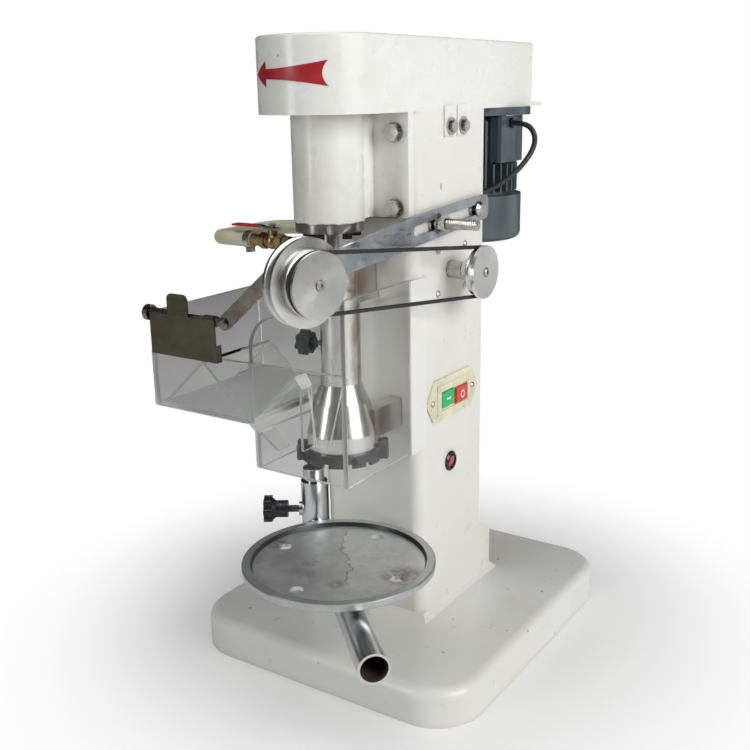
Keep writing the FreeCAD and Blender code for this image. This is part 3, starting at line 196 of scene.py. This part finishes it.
def turned_metal(name, colour, point, axis, rings=2600.0, rough=0.24, aniso=0.6):
    """Lathe-turned face: rings about the axis, with the sheen that they give, and painted shade in its
    creases.
    """
    p = Paint(name, Metallic=1.0, Anisotropic=aniso)
    swirl = p.around(point, axis)
    radius = p.length(swirl)
    line = p.node("TexNoise", {"W": p.sum(radius, rings, "MULTIPLY"), "Detail": 5.0, "Roughness": 0.7},
                  noise_dimensions="1D").outputs["Fac"]
    tone = p.mix(p.span(line, 0.3, 0.7), colour, tuple(c * 0.86 for c in colour))
    tone = p.mix(p.span(p.noise(48, 7, 0.7), 0.56, 0.74, 0, 0.22), tone, (0.40, 0.37, 0.33))
    # Painted shade: the colour darkens to near black in creases and corners.
    p.set(Base_Color=p.mix(p.painted_crease_shade(0.005, 0.6), tone, (0.07, 0.065, 0.06)))
    p.set(Roughness=p.sum(p.span(p.noise(30, 5), 0.3, 0.7, rough * 0.8, rough * 1.3),
                          p.span(line, 0.3, 0.7, -0.05, 0.07)))
    p.set(Tangent=p.node("VectorMath", {0: swirl}, operation="NORMALIZE").outputs[0])
    return p.bump(line, 0.20, 0.0003)


def plastic(name, colour, rough=0.32, grain=0.08, grain_scale=900, dust=0.12, dust_colour=(0.45, 0.43, 0.40)):
    """Moulded plastic or rubber with a fine grain and settled dust."""
    p = Paint(name)
    tone = p.mix(p.span(p.noise(30, 5), 0.35, 0.7), colour, tuple(c * 0.82 for c in colour))
    level = p.span(p.facing("Z"), 0.2, 1.0, 0.15, 1.0)
    settled = p.sum(level, p.span(p.noise(70, 8, 0.7), 0.45, 0.8, 0, dust), "MULTIPLY")
    p.set(Base_Color=p.mix(settled, tone, dust_colour))
    p.set(Roughness=p.span(p.noise(85, 5), 0.3, 0.75, rough * 0.8, min(1, rough * 1.4)))
    return p.bump(p.noise(grain_scale, 2), grain, 0.0003)


def glassy(name, tint, haze=0.02, rough=0.02, clarity=1.0, index=1.30):
    """Clear cast acrylic with wipe marks and fine scratches."""
    p = Paint(name, Transmission_Weight=clarity, IOR=index, Base_Color=tint)
    smear = p.span(p.noise(24, 7, 0.7, (1, 1, 2.5)), 0.48, 0.78)
    p.set(Roughness=p.sum(p.sum(smear, 0.07, "MULTIPLY"), rough))
    p.bump(p.noise(9, 3), 0.10, 0.0012)
    return p.bump(p.noise(900, 2, 0.5, (1, 0.12, 0.12)), 0.03 + haze, 0.0002)


IVORY = (0.815, 0.810, 0.775)
cast = enamel("cast_enamel", IVORY)
smooth_cover = enamel("cover_enamel", (0.835, 0.840, 0.815), peel=0.03, rough=0.30)
sheet_white = enamel("sheet_enamel", (0.84, 0.84, 0.82), peel=0.02, specks=False)

# The spindle housing's brushed-on paint is worn away in a ragged line at its lower rim.
WORN_Z = 0.4960
housing = enamel("housing_enamel", (0.83, 0.83, 0.80), peel=0.09, rough=0.30, specks=False)
housing.bump(housing.noise(160, 3, 0.6, (1, 1, 0.08)), 0.12, 0.0008)
edge = housing.sum(housing.part("Z"), housing.span(housing.noise(120, 6), 0.3, 0.75, 0, -0.0014))
bare = housing.span(edge, WORN_Z, WORN_Z + 0.0004, 1, 0)
painted = housing.shader.inputs["Base Color"].links[0].from_socket
housing.set(Base_Color=housing.mix(bare, painted, (0.33, 0.29, 0.24)), Metallic=bare)

# The base is rubbed and slightly greyer on its flat top, with a few dropped stains.
BASE_TOP = 0.042
base = enamel("base_enamel", (0.780, 0.782, 0.765), peel=0.06)
painted = base.shader.inputs["Base Color"].links[0].from_socket
rubbed = base.span(base.noise(13, 9, 0.75), 0.55, 0.72, 0, 0.30)
scuff = base.sum(rubbed, base.span(base.facing("Z"), 0.5, 0.9), "MULTIPLY")
painted = base.mix(scuff, painted, (0.62, 0.61, 0.58))
for x, y in ((0.118, -0.120), (0.035, -0.150), (-0.12, -0.155), (0.150, 0.06)):
    stain = base.spot((x, y, BASE_TOP), 0.0016)
    painted = base.mix(base.sum(stain, 0.8, "MULTIPLY"), painted, (0.25, 0.17, 0.11))
base.set(Base_Color=painted)

zinc = metal("zinc_plate", (0.60, 0.59, 0.56), 0.30, (0.42, 0.33, 0.20), 0.4, grain_scale=500)
bright_steel = metal("bright_steel", (0.58, 0.555, 0.51), 0.22, (0.36, 0.25, 0.14), 0.5, (1, 1, 14), 160)
dark_steel = metal("dark_steel", (0.12, 0.11, 0.10), 0.4, (0.2, 0.13, 0.08), 0.4)
socket_black = metal("black_oxide", (0.035, 0.034, 0.034), 0.42)
brass = metal("dull_brass", (0.40, 0.275, 0.135), 0.38, (0.13, 0.085, 0.045), 0.85, scratch=0.12)
chrome = metal("chrome", (0.62, 0.63, 0.63), 0.10, (0.40, 0.36, 0.30), 0.18, scratch=0.02)
lever_steel = metal("lever_steel", (0.27, 0.245, 0.21), 0.30, (0.27, 0.20, 0.13), 0.5, (0.1, 1, 1.2),
                    220, 0.12)
flap_steel = metal("flap_steel", (0.120, 0.110, 0.083), 0.40, (0.10, 0.08, 0.055), 0.6, (0.05, 1, 1.4),
                   260, 0.20)
hub_alloy = metal("hub_alloy", (0.40, 0.415, 0.41), 0.4)

arm_zinc = metal("arm_zinc", (0.405, 0.440, 0.465), 0.36, (0.58, 0.60, 0.60), 0.5, (1, 0.06, 1.6), 260, 0.10)
arm_zinc.set(Metallic=0.85)

# The table's tube is bright outside, dark and rusty inside.
TABLE_POINT, TABLE_AXIS = (-0.078, -0.079, 0.127), (0.7203, -0.6936, 0.0)
tube = metal("table_chrome", (0.66, 0.675, 0.685), 0.24, (0.42, 0.43, 0.435), 0.10, scratch=0.004, wear=0.15)
deep = tube.span(tube.length(tube.around(TABLE_POINT, TABLE_AXIS)), 0.0131, 0.0134, 1, 0)
along = tube.node("VectorMath", {0: tube.from_point(TABLE_POINT), 1: TABLE_AXIS},
                  operation="DOT_PRODUCT").outputs["Value"]
deep = tube.sum(deep, tube.span(along, 0.020, 0.024), "MULTIPLY")
rust = tube.mix(tube.noise(150, 6), (0.050, 0.034, 0.026), (0.17, 0.125, 0.10))
painted = tube.shader.inputs["Base Color"].links[0].from_socket
tube.set(Base_Color=tube.mix(deep, painted, rust), Metallic=tube.span(deep, 0, 1, 1.0, 0.25))
end_face = tube.span(along, 0.3176, 0.3179)
painted = tube.shader.inputs["Base Color"].links[0].from_socket
tube.set(Base_Color=tube.mix(tube.sum(end_face, 0.7, "MULTIPLY"), painted, (0.72, 0.72, 0.71)))

# The bell is polished, with a vertical polishing grain and a brown heat tint by its seam and bracket.
bell = metal("polished_stainless", (0.70, 0.69, 0.665), 0.23, (0.50, 0.45, 0.38), 0.12, (1, 1, 0.03),
             420, 0.05, 0.25)
above_cone = bell.span(bell.part("Z"), 0.325, 0.345)
seam = bell.sum(bell.span(bell.part("X"), 0.0235, 0.0275), above_cone, "MULTIPLY")
seam = bell.sum(seam, bell.span(bell.noise(46, 6, 0.7), 0.34, 0.6, 0.15, 0.75), "MULTIPLY")
LOWER_WELD, UPPER_WELD = (0.040, -0.128, 0.292), (0.012, -0.122, 0.430)
weld = bell.sum(bell.spot(LOWER_WELD, 0.017, 0.7), bell.spot(UPPER_WELD, 0.02, 0.7), "MAXIMUM")
burn = bell.sum(seam, bell.sum(weld, 0.75, "MULTIPLY"), "MAXIMUM")
painted = bell.shader.inputs["Base Color"].links[0].from_socket
bell.set(Base_Color=bell.mix(burn, painted, (0.30, 0.185, 0.10)))

# The tray is galvanised: soft spangle, a pale rim, its inner wall darkened as painted shade, a water line and
# brown stains by its holes.
TRAY_FLOOR = 0.151
TRAY = (0.030, -0.183, TRAY_FLOOR)
tray = Paint("galvanised_tray", Metallic=0.82)
spangle = tray.cells(150, out="Color")
grey = tray.node("RGBToBW", {0: spangle}).outputs[0]
tone = tray.mix(tray.span(grey, 0.2, 0.8), (0.66, 0.675, 0.668), (0.72, 0.735, 0.728))
tone = tray.mix(tray.span(tray.noise(16, 7, 0.7), 0.42, 0.7, 0, 0.40), tone, (0.50, 0.515, 0.508))
wander = tray.span(tray.noise(40, 6), 0.3, 0.7, -0.006, 0.006)
WATER_LINE = (0.0277, -0.1674, TRAY_FLOOR)
across = tray.node("VectorMath", {0: tray.from_point(WATER_LINE), 1: (0.779, 0.628, 0)},
                   operation="DOT_PRODUCT").outputs["Value"]
across = tray.sum(across, wander)
reach = tray.span(tray.length(tray.from_point(WATER_LINE)), 0.052, 0.072, 1, 0)
dry = tray.sum(tray.span(across, -0.030, 0.0, 0, 0.42), tray.span(across, 0.0, 0.0012, 1, 0), "MULTIPLY")
tone = tray.mix(tray.sum(dry, reach, "MULTIPLY"), tone, (0.46, 0.47, 0.465))
line = tray.sum(tray.span(across, -0.0014, 0.0, 0, 1), tray.span(across, 0.0002, 0.0016, 1, 0), "MULTIPLY")
tone = tray.mix(tray.sum(tray.sum(line, reach, "MULTIPLY"), 0.6, "MULTIPLY"), tone, (0.09, 0.085, 0.075))
ragged = tray.span(tray.noise(90, 6, 0.7), 0.36, 0.56)
for x, y, size, share in ((0.106, -0.174, 0.019, 0.75), (0.094, -0.180, 0.011, 0.6),
                          (-0.052, -0.180, 0.012, 0.6), (0.006, -0.200, 0.008, 0.35),
                          (0.056, -0.224, 0.008, 0.55)):
    mark = tray.sum(tray.spot((x, y, TRAY_FLOOR), size, 0.5), ragged, "MULTIPLY")
    tone = tray.mix(tray.sum(mark, share, "MULTIPLY"), tone, (0.235, 0.18, 0.115))
from_middle = tray.length(tray.around(TRAY, (0, 0, 1)))
rim = tray.span(from_middle, 0.0900, 0.0912)
tone = tray.mix(rim, tone, tray.mix(tray.noise(120, 5), (0.44, 0.46, 0.455), (0.60, 0.615, 0.61)))
# Painted shade: the tray's inner wall is darkened to near black.
outside = tray.span(from_middle, 0.0908, 0.0914, 1, 0)
painted_wall_shade = tray.sum(tray.span(from_middle, 0.0885, 0.0896), outside, "MULTIPLY")
tone = tray.mix(painted_wall_shade, tone, (0.055, 0.06, 0.06))
# Painted shade: the tray darkens to near black in its corners and by its hub.
tray.set(Base_Color=tray.mix(tray.painted_crease_shade(0.004, 0.5), tone, (0.05, 0.05, 0.05)))
tray.set(Roughness=tray.span(tray.noise(26, 7, 0.7), 0.3, 0.75, 0.28, 0.50))
tray.bump(tray.noise(300, 4), 0.12, 0.0005)

# Motor: dark blue-grey enamel over a coarse casting.
motor = enamel("motor_enamel", (0.060, 0.084, 0.100), (0.20, 0.21, 0.20), peel=0.22, rough=0.42, specks=False)
motor_cap = enamel("motor_cap", (0.075, 0.100, 0.112), (0.22, 0.23, 0.22), peel=0.14, rough=0.36,
                   specks=False)

rubber = plastic("belt_rubber", (0.022, 0.022, 0.023), 0.55, 0.2, 700)
lead_skin = plastic("lead_skin", (0.020, 0.021, 0.023), 0.42, 0.1)
knob = plastic("knob_phenolic", (0.016, 0.017, 0.019), 0.24, 0.05)
head_grip = plastic("grip_grey", (0.070, 0.082, 0.088), 0.45, 0.12)
ring_black = plastic("ring_black", (0.024, 0.026, 0.028), 0.40, 0.15)
bezel = plastic("bezel_black", (0.018, 0.018, 0.020), 0.22, 0.04)
cream = plastic("cream_moulding", (0.80, 0.77, 0.56), 0.30, 0.05, dust=0.05, dust_colour=(0.6, 0.55, 0.4))
green = plastic("green_moulding", (0.030, 0.50, 0.155), 0.26, 0.05, dust=0.04)
red = plastic("red_moulding", (0.72, 0.070, 0.040), 0.26, 0.05, dust=0.04)
mark_white = plastic("mark_white", (0.88, 0.88, 0.84), 0.4, 0.05, dust=0.05)
arrow_red = plastic("arrow_red", (0.42, 0.018, 0.030), 0.36, 0.04, dust=0.10, dust_colour=(0.6, 0.12, 0.12))
lens_red = plastic("lamp_red", (0.50, 0.012, 0.020), 0.14, 0.02, dust=0.02)
lens_red.set(Coat_Weight=0.8, Coat_Roughness=0.05)

hose_skin = plastic("hose_skin", (0.70, 0.67, 0.52), 0.36, 0.10, 260, dust=0.25,
                    dust_colour=(0.45, 0.38, 0.25))
hose_skin.set(Subsurface_Weight=0.35, Subsurface_Scale=0.006, Subsurface_Radius=(1.0, 0.8, 0.5))

# The valve's lever is dipped in red vinyl as far as its bare neck.
NECK_X = -0.0886
grip = metal("valve_lever", (0.55, 0.55, 0.53), 0.28)
dipped = grip.span(grip.part("X"), NECK_X, NECK_X + 0.0006, 1, 0)
painted = grip.shader.inputs["Base Color"].links[0].from_socket
vinyl = grip.mix(grip.noise(60, 5), (0.46, 0.02, 0.03), (0.60, 0.035, 0.04))
grip.set(Base_Color=grip.mix(dipped, painted, vinyl))
grip.set(Metallic=grip.span(dipped, 0, 1, 1, 0))

# Turned faces: rings about each pulley's own axis.
SWING = math.radians(15.5)
FEED_AXIS = (math.cos(SWING), -math.sin(SWING), 0)
FEED_POINT = (0.035052, -0.241836, 0.455)
DRIVE_Y, DRIVE_Z = -0.014, 0.434
SPINDLE_Y, MOTOR_Y, BELT_Z = -0.142, 0.140, 0.624
feed_alloy = turned_metal("feed_alloy", (0.70, 0.695, 0.68), FEED_POINT, FEED_AXIS)
drive_alloy = turned_metal("drive_alloy", (0.78, 0.775, 0.76), (0.1, DRIVE_Y, DRIVE_Z), (1, 0, 0),
                           aniso=0.35)
belt_alloy = turned_metal("belt_alloy", (0.66, 0.66, 0.65), (0, SPINDLE_Y, BELT_Z), (0, 0, 1))
motor_alloy = turned_metal("motor_alloy", (0.66, 0.66, 0.65), (0, MOTOR_Y, BELT_Z), (0, 0, 1))
ring_alloy = turned_metal("spindle_ring", (0.56, 0.53, 0.47), (0, SPINDLE_Y, 0.49), (0, 0, 1), 900, 0.2, 0.4)
boss_metal = metal("boss_metal", (0.66, 0.65, 0.61), 0.34, (0.45, 0.41, 0.33), 0.4)

clear = glassy("clear_acrylic", (0.950, 0.956, 0.952))
cut_edge = glassy("acrylic_edge", (0.52, 0.53, 0.52), 0.25, 0.30, 0.45, 1.45)

FINISH = {
    "base": base, "column": cast, "rear_cover": sheet_white, "side_plate": sheet_white, "deck_plate": cast,
    "bottom_plate": dark_steel, "spindle_housing": housing, "housing_bolts": zinc, "bearings": bright_steel,
    "bearing_cap": ring_alloy, "spindle_shaft": bright_steel, "spindle_pulley": belt_alloy,
    "motor_pulley": motor_alloy, "drive_belt": rubber, "belt_cover": smooth_cover, "cover_bolts": zinc,
    "motor_housing": motor, "terminal_box": motor, "fan_cover": motor_cap, "motor_shaft": dark_steel,
    "cable_glands": bezel, "slotted_arm": arm_zinc, "arm_fasteners": zinc, "feed_bush": brass,
    "feed_pulley": feed_alloy, "feed_shaft": bright_steel, "drive_pulley": drive_alloy,
    "gearmotor": boss_metal, "feed_belt": rubber, "press_lever": lever_steel, "press_flap": flap_steel,
    "bell_head": bell, "clamp_ring": ring_black, "head_knob": head_grip, "seal_head": bright_steel,
    "seal_pad": rubber,
    "valve_elbow": bezel, "valve_body": brass, "valve_handle": grip, "hose_fittings": bright_steel,
    "post": chrome, "height_collar": zinc, "table_arm": tube, "clamp_knob": knob, "tray_hub": hub_alloy,
    "tray": tray, "switch_plate": cream, "green_button": green, "red_button": red, "rocker_bezel": bezel,
    "rocker": lens_red, "panel_screws": zinc, "socket_screws": socket_black,
}
for name, finish in FINISH.items():
    nodes[name].data.materials.clear()
    nodes[name].data.materials.append(finish.material)


# ---- cords, on the same routes as the CAD tubes ----
def cord_curve(name, points, radius, finish):
    curve = bpy.data.curves.new(name, "CURVE")
    curve.dimensions, curve.bevel_depth, curve.bevel_resolution = "3D", radius, 8
    curve.resolution_u, curve.use_fill_caps = 16, True
    spline = curve.splines.new("NURBS")
    spline.points.add(len(points) - 1)
    for point, place in zip(spline.points, points):
        point.co = (*place, 1)
    spline.order_u, spline.use_endpoint_u = 3, True
    made = bpy.data.objects.new(name, curve)
    scene.collection.objects.link(made)
    curve.materials.append(finish.material)
    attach(made, "frame")
    return made


HOSE = [(-0.100, -0.142, 0.471), (-0.143, -0.142, 0.471), (-0.173, -0.111, 0.466), (-0.173, -0.067, 0.466),
        (-0.143, -0.036, 0.471), (-0.100, -0.036, 0.471)]
LEAD = [(0.064, 0.134, 0.581), (0.0796, 0.134, 0.581), (0.090, 0.136, 0.570), (0.090, 0.136, 0.554),
        (0.082, 0.122, 0.534), (0.068, 0.106, 0.517), (0.052, 0.091, 0.506), (0.040, 0.079, 0.501),
        (0.040, 0.062, 0.501)]
hose = cord_curve("hose_line", HOSE, 0.008, hose_skin)
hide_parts("water_hose")
lead = cord_curve("lead_line", LEAD, 0.003, lead_skin)
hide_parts("motor_lead")


# ---- geometry helpers ----
def piece(name, mesh_builder, finish, body, smooth=35):
    """One mesh piece in the row frame, riding on a body."""
    bm = bmesh.new()
    mesh_builder(bm)
    bmesh.ops.recalc_face_normals(bm, faces=bm.faces)
    mesh = bpy.data.meshes.new(name)
    bm.to_mesh(mesh)
    bm.free()
    for item in finish if isinstance(finish, (list, tuple)) else [finish]:
        mesh.materials.append(item.material)
    for f in mesh.polygons:
        f.use_smooth = True
    mesh.set_sharp_from_angle(angle=math.radians(smooth))
    made = bpy.data.objects.new(name, mesh)
    scene.collection.objects.link(made)
    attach(made, body)
    return made


def frame_of(axis):
    """Two directions square to the axis."""
    axis = Vector(axis).normalized()
    side = axis.orthogonal().normalized()
    return side, axis.cross(side)


def revolve(bm, point, axis, profile, steps=48):
    """Surface of revolution of (distance along the axis, radius) points, closed where the radius is 0."""
    point, axis = Vector(point), Vector(axis).normalized()
    u, v = frame_of(axis)
    loops = []
    for along, radius in profile:
        centre = point + axis * along
        if radius == 0:
            loops.append([bm.verts.new(centre)])
            continue
        turn = [2 * math.pi * k / steps for k in range(steps)]
        loops.append([bm.verts.new(centre + (u * math.cos(t) + v * math.sin(t)) * radius) for t in turn])
    for a, b in zip(loops, loops[1:]):
        for k in range(steps):
            quad = [a[k % len(a)], a[(k + 1) % len(a)], b[(k + 1) % len(b)], b[k % len(b)]]
            bm.faces.new(list(dict.fromkeys(quad)))


def thread(bm, point, axis, length, radius, pitch=0.0015, steps=20):
    """Screw thread: a ridged tube with a helical crest, closed at both ends."""
    point, axis = Vector(point), Vector(axis).normalized()
    u, v = frame_of(axis)
    rows = int(length / pitch * 4)
    rings = []
    for i in range(rows + 1):
        ring = []
        for k in range(steps):
            t = 2 * math.pi * k / steps
            phase = (i / 4 + k / steps) % 1
            depth = abs(phase - 0.5) * 2 * pitch * 0.55
            taper = min(1, (rows - i) / 5 + 0.55)
            r = (radius - depth) * taper
            out = (u * math.cos(t) + v * math.sin(t)) * r
            ring.append(bm.verts.new(point + axis * (length * i / rows) + out))
        rings.append(ring)
    for a, b in zip(rings, rings[1:]):
        for k in range(steps):
            bm.faces.new((a[k], a[(k + 1) % steps], b[(k + 1) % steps], b[k]))
    bm.faces.new(rings[0][::-1])
    bm.faces.new(rings[-1])


def slab(bm, outline, lift):
    """Closed plate between an outline and the same outline moved by lift."""
    low = [bm.verts.new(p) for p in outline]
    high = [bm.verts.new(Vector(p) + Vector(lift)) for p in outline]
    bm.faces.new(low[::-1])
    bm.faces.new(high)
    for k in range(len(low)):
        bm.faces.new((low[k], low[(k + 1) % len(low)], high[(k + 1) % len(high)], high[k]))


# ---- acrylic sheets: the CAD sheets with polished faces, cut edges and small arrises ----
def acrylic(node):
    bm = bmesh.new()
    bm.from_mesh(nodes[node].data)
    bmesh.ops.remove_doubles(bm, verts=bm.verts, dist=1e-6)
    bmesh.ops.dissolve_limit(bm, angle_limit=math.radians(1), verts=bm.verts, edges=bm.edges)
    bm.faces.ensure_lookup_table()
    left = set(bm.faces)
    islands = []
    while left:
        todo, island = [left.pop()], []
        while todo:
            face = todo.pop()
            island.append(face)
            for e in face.edges:
                for other in e.link_faces:
                    if other in left:
                        left.discard(other)
                        todo.append(other)
        islands.append(island)
    for island in islands:
        broad = max(island, key=lambda f: f.calc_area())
        size = broad.calc_area()
        for f in island:
            f.material_index = 0 if f.calc_area() > size * 0.30 and len(island) > 5 else 1
            if abs(f.normal.dot(broad.normal)) > 0.99 or f.calc_area() > size * 0.45:
                f.material_index = 0
            if node == "hopper_sheets" and abs(f.normal.y) > 0.99:
                f.material_index = 1
            f.smooth = False
    mesh = bpy.data.meshes.new(node + "_sheet")
    bm.to_mesh(mesh)
    bm.free()
    mesh.materials.append(clear.material)
    mesh.materials.append(cut_edge.material)
    made = bpy.data.objects.new(node + "_sheet", mesh)
    scene.collection.objects.link(made)
    arris = made.modifiers.new("arris", "BEVEL")
    arris.width, arris.segments, arris.limit_method, arris.material = 0.0004, 2, "ANGLE", 1
    made.visible_shadow = False
    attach(made, "frame")
    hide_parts(node)


for node in ("guard_right", "guard_front", "hopper_panels", "inner_walls", "hopper_sheets"):
    acrylic(node)


# ---- red direction arrow on the cover's rounded front ----
COVER_R, COVER_Y = 0.065, SPINDLE_Y


def on_cover(s, z, lift):
    """Point at arc length s round the nose, from its left flank towards the switch side."""
    nose = math.pi * COVER_R
    if s <= nose:
        t = math.pi + s / COVER_R
        r = COVER_R + lift
        return (r * math.cos(t), COVER_Y + r * math.sin(t), z)
    return (COVER_R + lift, COVER_Y + s - nose, z)


def arrow(bm):
    """Triangular head, then a shaft that flares to a hollow tail, as a thin skin."""
    tip, root, tail, mid = 0.0580, 0.0788, 0.1459, 0.6353
    strips = [(tip + (root - tip) * k / 6, 0.0001 + 0.0115 * k / 6) for k in range(7)]
    strips += [(root + 0.00005 + (tail - root) * k / 30, 0.0044 + 0.0070 * (k / 30) ** 1.8)
               for k in range(31)]
    cols = []
    for s, half in strips:
        flare = max(0, (s - root) / (tail - root)) ** 3
        rows = []
        for j in range(9):
            w = -1 + j / 4
            here = s - flare * 0.0057 * (1 - w * w)
            rows.append([bm.verts.new(on_cover(here, mid + half * w, lift)) for lift in (0.00005, 0.00035)])
        cols.append(rows)
    for a, b in zip(cols, cols[1:]):
        for j in range(8):
            for side in (0, 1):
                bm.faces.new((a[j][side], a[j + 1][side], b[j + 1][side], b[j][side]))
        for j in (0, 8):
            bm.faces.new((a[j][0], b[j][0], b[j][1], a[j][1]))
    for col in (cols[0], cols[-1]):
        for j in range(8):
            bm.faces.new((col[j][0], col[j + 1][0], col[j + 1][1], col[j][1]))


piece("direction_arrow", arrow, arrow_red, "frame", 30)

# ---- switch plate trim and its generic marks ----
FACE = 0.067


def switch_frame(bm):
    outer = (-0.0450, 0.0262, 0.2755, 0.3095)
    inner = (-0.0380, 0.0195, 0.2805, 0.3025)
    rings = []
    for (y0, y1, z0, z1), x in ((outer, FACE - 0.0002), (outer, FACE + 0.0010), (inner, FACE + 0.0016),
                                (inner, FACE - 0.0002)):
        rings.append([bm.verts.new((x, y, z)) for y, z in ((y0, z0), (y1, z0), (y1, z1), (y0, z1))])
    for k in range(4):
        a, b = rings[k], rings[(k + 1) % 4]
        for j in range(4):
            bm.faces.new((a[j], a[(j + 1) % 4], b[(j + 1) % 4], b[j]))


piece("switch_frame", switch_frame, cream, "frame", 20)


def bar_mark(bm):
    x, y0, y1, z0, z1 = 0.0690, -0.0277, -0.0187, 0.2912, 0.2932
    slab(bm, [(x, y0, z0), (x, y1, z0), (x, y1, z1), (x, y0, z1)], (0.0003, 0, 0))


def ring_mark(bm):
    revolve(bm, (0.0705, 0.0055, 0.2903), (1, 0, 0),
            [(0, 0.0030), (0, 0.0045), (0.0003, 0.0045), (0.0003, 0.0030), (0, 0.0030)], 32)
    bmesh.ops.remove_doubles(bm, verts=bm.verts, dist=1e-7)


piece("start_mark", bar_mark, mark_white, "start_button")
piece("stop_mark", ring_mark, mark_white, "stop_button")

# ---- screw threads on the slotted arm's stud and the table's clamp ----
piece("stud_thread", lambda bm: thread(bm, (0.0832, -0.052, 0.4876), (1, 0, 0), 0.0356, 0.0056, 0.002), zinc,
      "frame")
piece("clamp_thread", lambda bm: thread(bm, (-0.09445, -0.09002, 0.149), (-0.831, -0.5563, 0), 0.0120, 0.0042,
                                        0.00125), zinc, "table_knob")


# ---- centre screws of the two round-belt pulleys ----
def centre_screw(bm, point, axis):
    revolve(bm, point, axis, [(-0.001, 0), (-0.001, 0.0048), (0.0010, 0.0048), (0.0016, 0.0040),
                              (0.0016, 0.0022), (0.0004, 0.0019), (0.0004, 0)], 36)


FEED_END = Vector(FEED_POINT) + Vector(FEED_AXIS) * 0.034
DRIVE_END = (0.108, DRIVE_Y, DRIVE_Z)
piece("feed_screw", lambda bm: centre_screw(bm, FEED_END, FEED_AXIS), zinc, "feed")
piece("drive_screw", lambda bm: centre_screw(bm, DRIVE_END, (1, 0, 0)), zinc, "drive")


# ---- soft studio light, pale floor ----
def area(name, place, aim, size, power, tone=(1, 1, 1)):
    light = bpy.data.lights.new(name, "AREA")
    light.shape, light.energy, light.color = "RECTANGLE", power, tone
    light.size, light.size_y = size
    made = bpy.data.objects.new(name, light)
    made.location = place
    made.rotation_euler = (Vector(aim) - Vector(place)).to_track_quat("-Z", "Y").to_euler()
    scene.collection.objects.link(made)


area("key", (2.4, -0.5, 1.5), (0, 0, 0.35), (1.6, 1.6), 56)
area("strip", (-0.9, -2.2, 1.1), (0, 0, 0.35), (0.35, 1.8), 13)
area("rear", (1.5, 2.1, 0.35), (0.1, -0.05, 0.45), (1.5, 1.1), 4)
area("top", (-0.2, -0.3, 2.6), (0, 0, 0.3), (1.8, 1.8), 20)

world = bpy.data.worlds.new("studio")
scene.world = world
world.use_nodes = True
wt = world.node_tree
sky = wt.nodes["Background"]
direction = wt.nodes.new("ShaderNodeTexCoord").outputs["Generated"]
split = wt.nodes.new("ShaderNodeSeparateXYZ")
wt.links.new(direction, split.inputs[0])
fade = wt.nodes.new("ShaderNodeMapRange")
fade.inputs["From Min"].default_value, fade.inputs["From Max"].default_value = -0.2, 0.9
fade.inputs["To Min"].default_value, fade.inputs["To Max"].default_value = 0.62, 0.84
wt.links.new(split.outputs[2], fade.inputs["Value"])
wt.links.new(fade.outputs[0], sky.inputs["Strength"])
seen = wt.nodes.new("ShaderNodeBackground")
seen.inputs["Color"].default_value = (1, 1, 1, 1)
ray = wt.nodes.new("ShaderNodeLightPath")
choose = wt.nodes.new("ShaderNodeMixShader")
wt.links.new(ray.outputs["Is Camera Ray"], choose.inputs[0])
wt.links.new(sky.outputs[0], choose.inputs[1])
wt.links.new(seen.outputs[0], choose.inputs[2])
wt.links.new(choose.outputs[0], wt.nodes["World Output"].inputs["Surface"])

bpy.ops.mesh.primitive_circle_add(vertices=96, radius=40, fill_type="NGON")
floor = bpy.context.object
floor.name = "floor"
pale = Paint("floor_pale", Base_Color=(0.90, 0.90, 0.895), Roughness=0.7)
glow = pale.node("Emission", {"Color": (1, 1, 1), "Strength": 1.0})
far = pale.span(pale.length(pale.place), 0.12, 0.52)
far = pale.sum(far, pale.node("LightPath").outputs["Is Camera Ray"], "MULTIPLY")
blend = pale.node("MixShader", {0: far, 1: pale.shader.outputs[0], 2: glow.outputs[0]})
pale.tree.links.new(blend.outputs[0], pale.tree.nodes["Material Output"].inputs["Surface"])
floor.data.materials.append(pale.material)
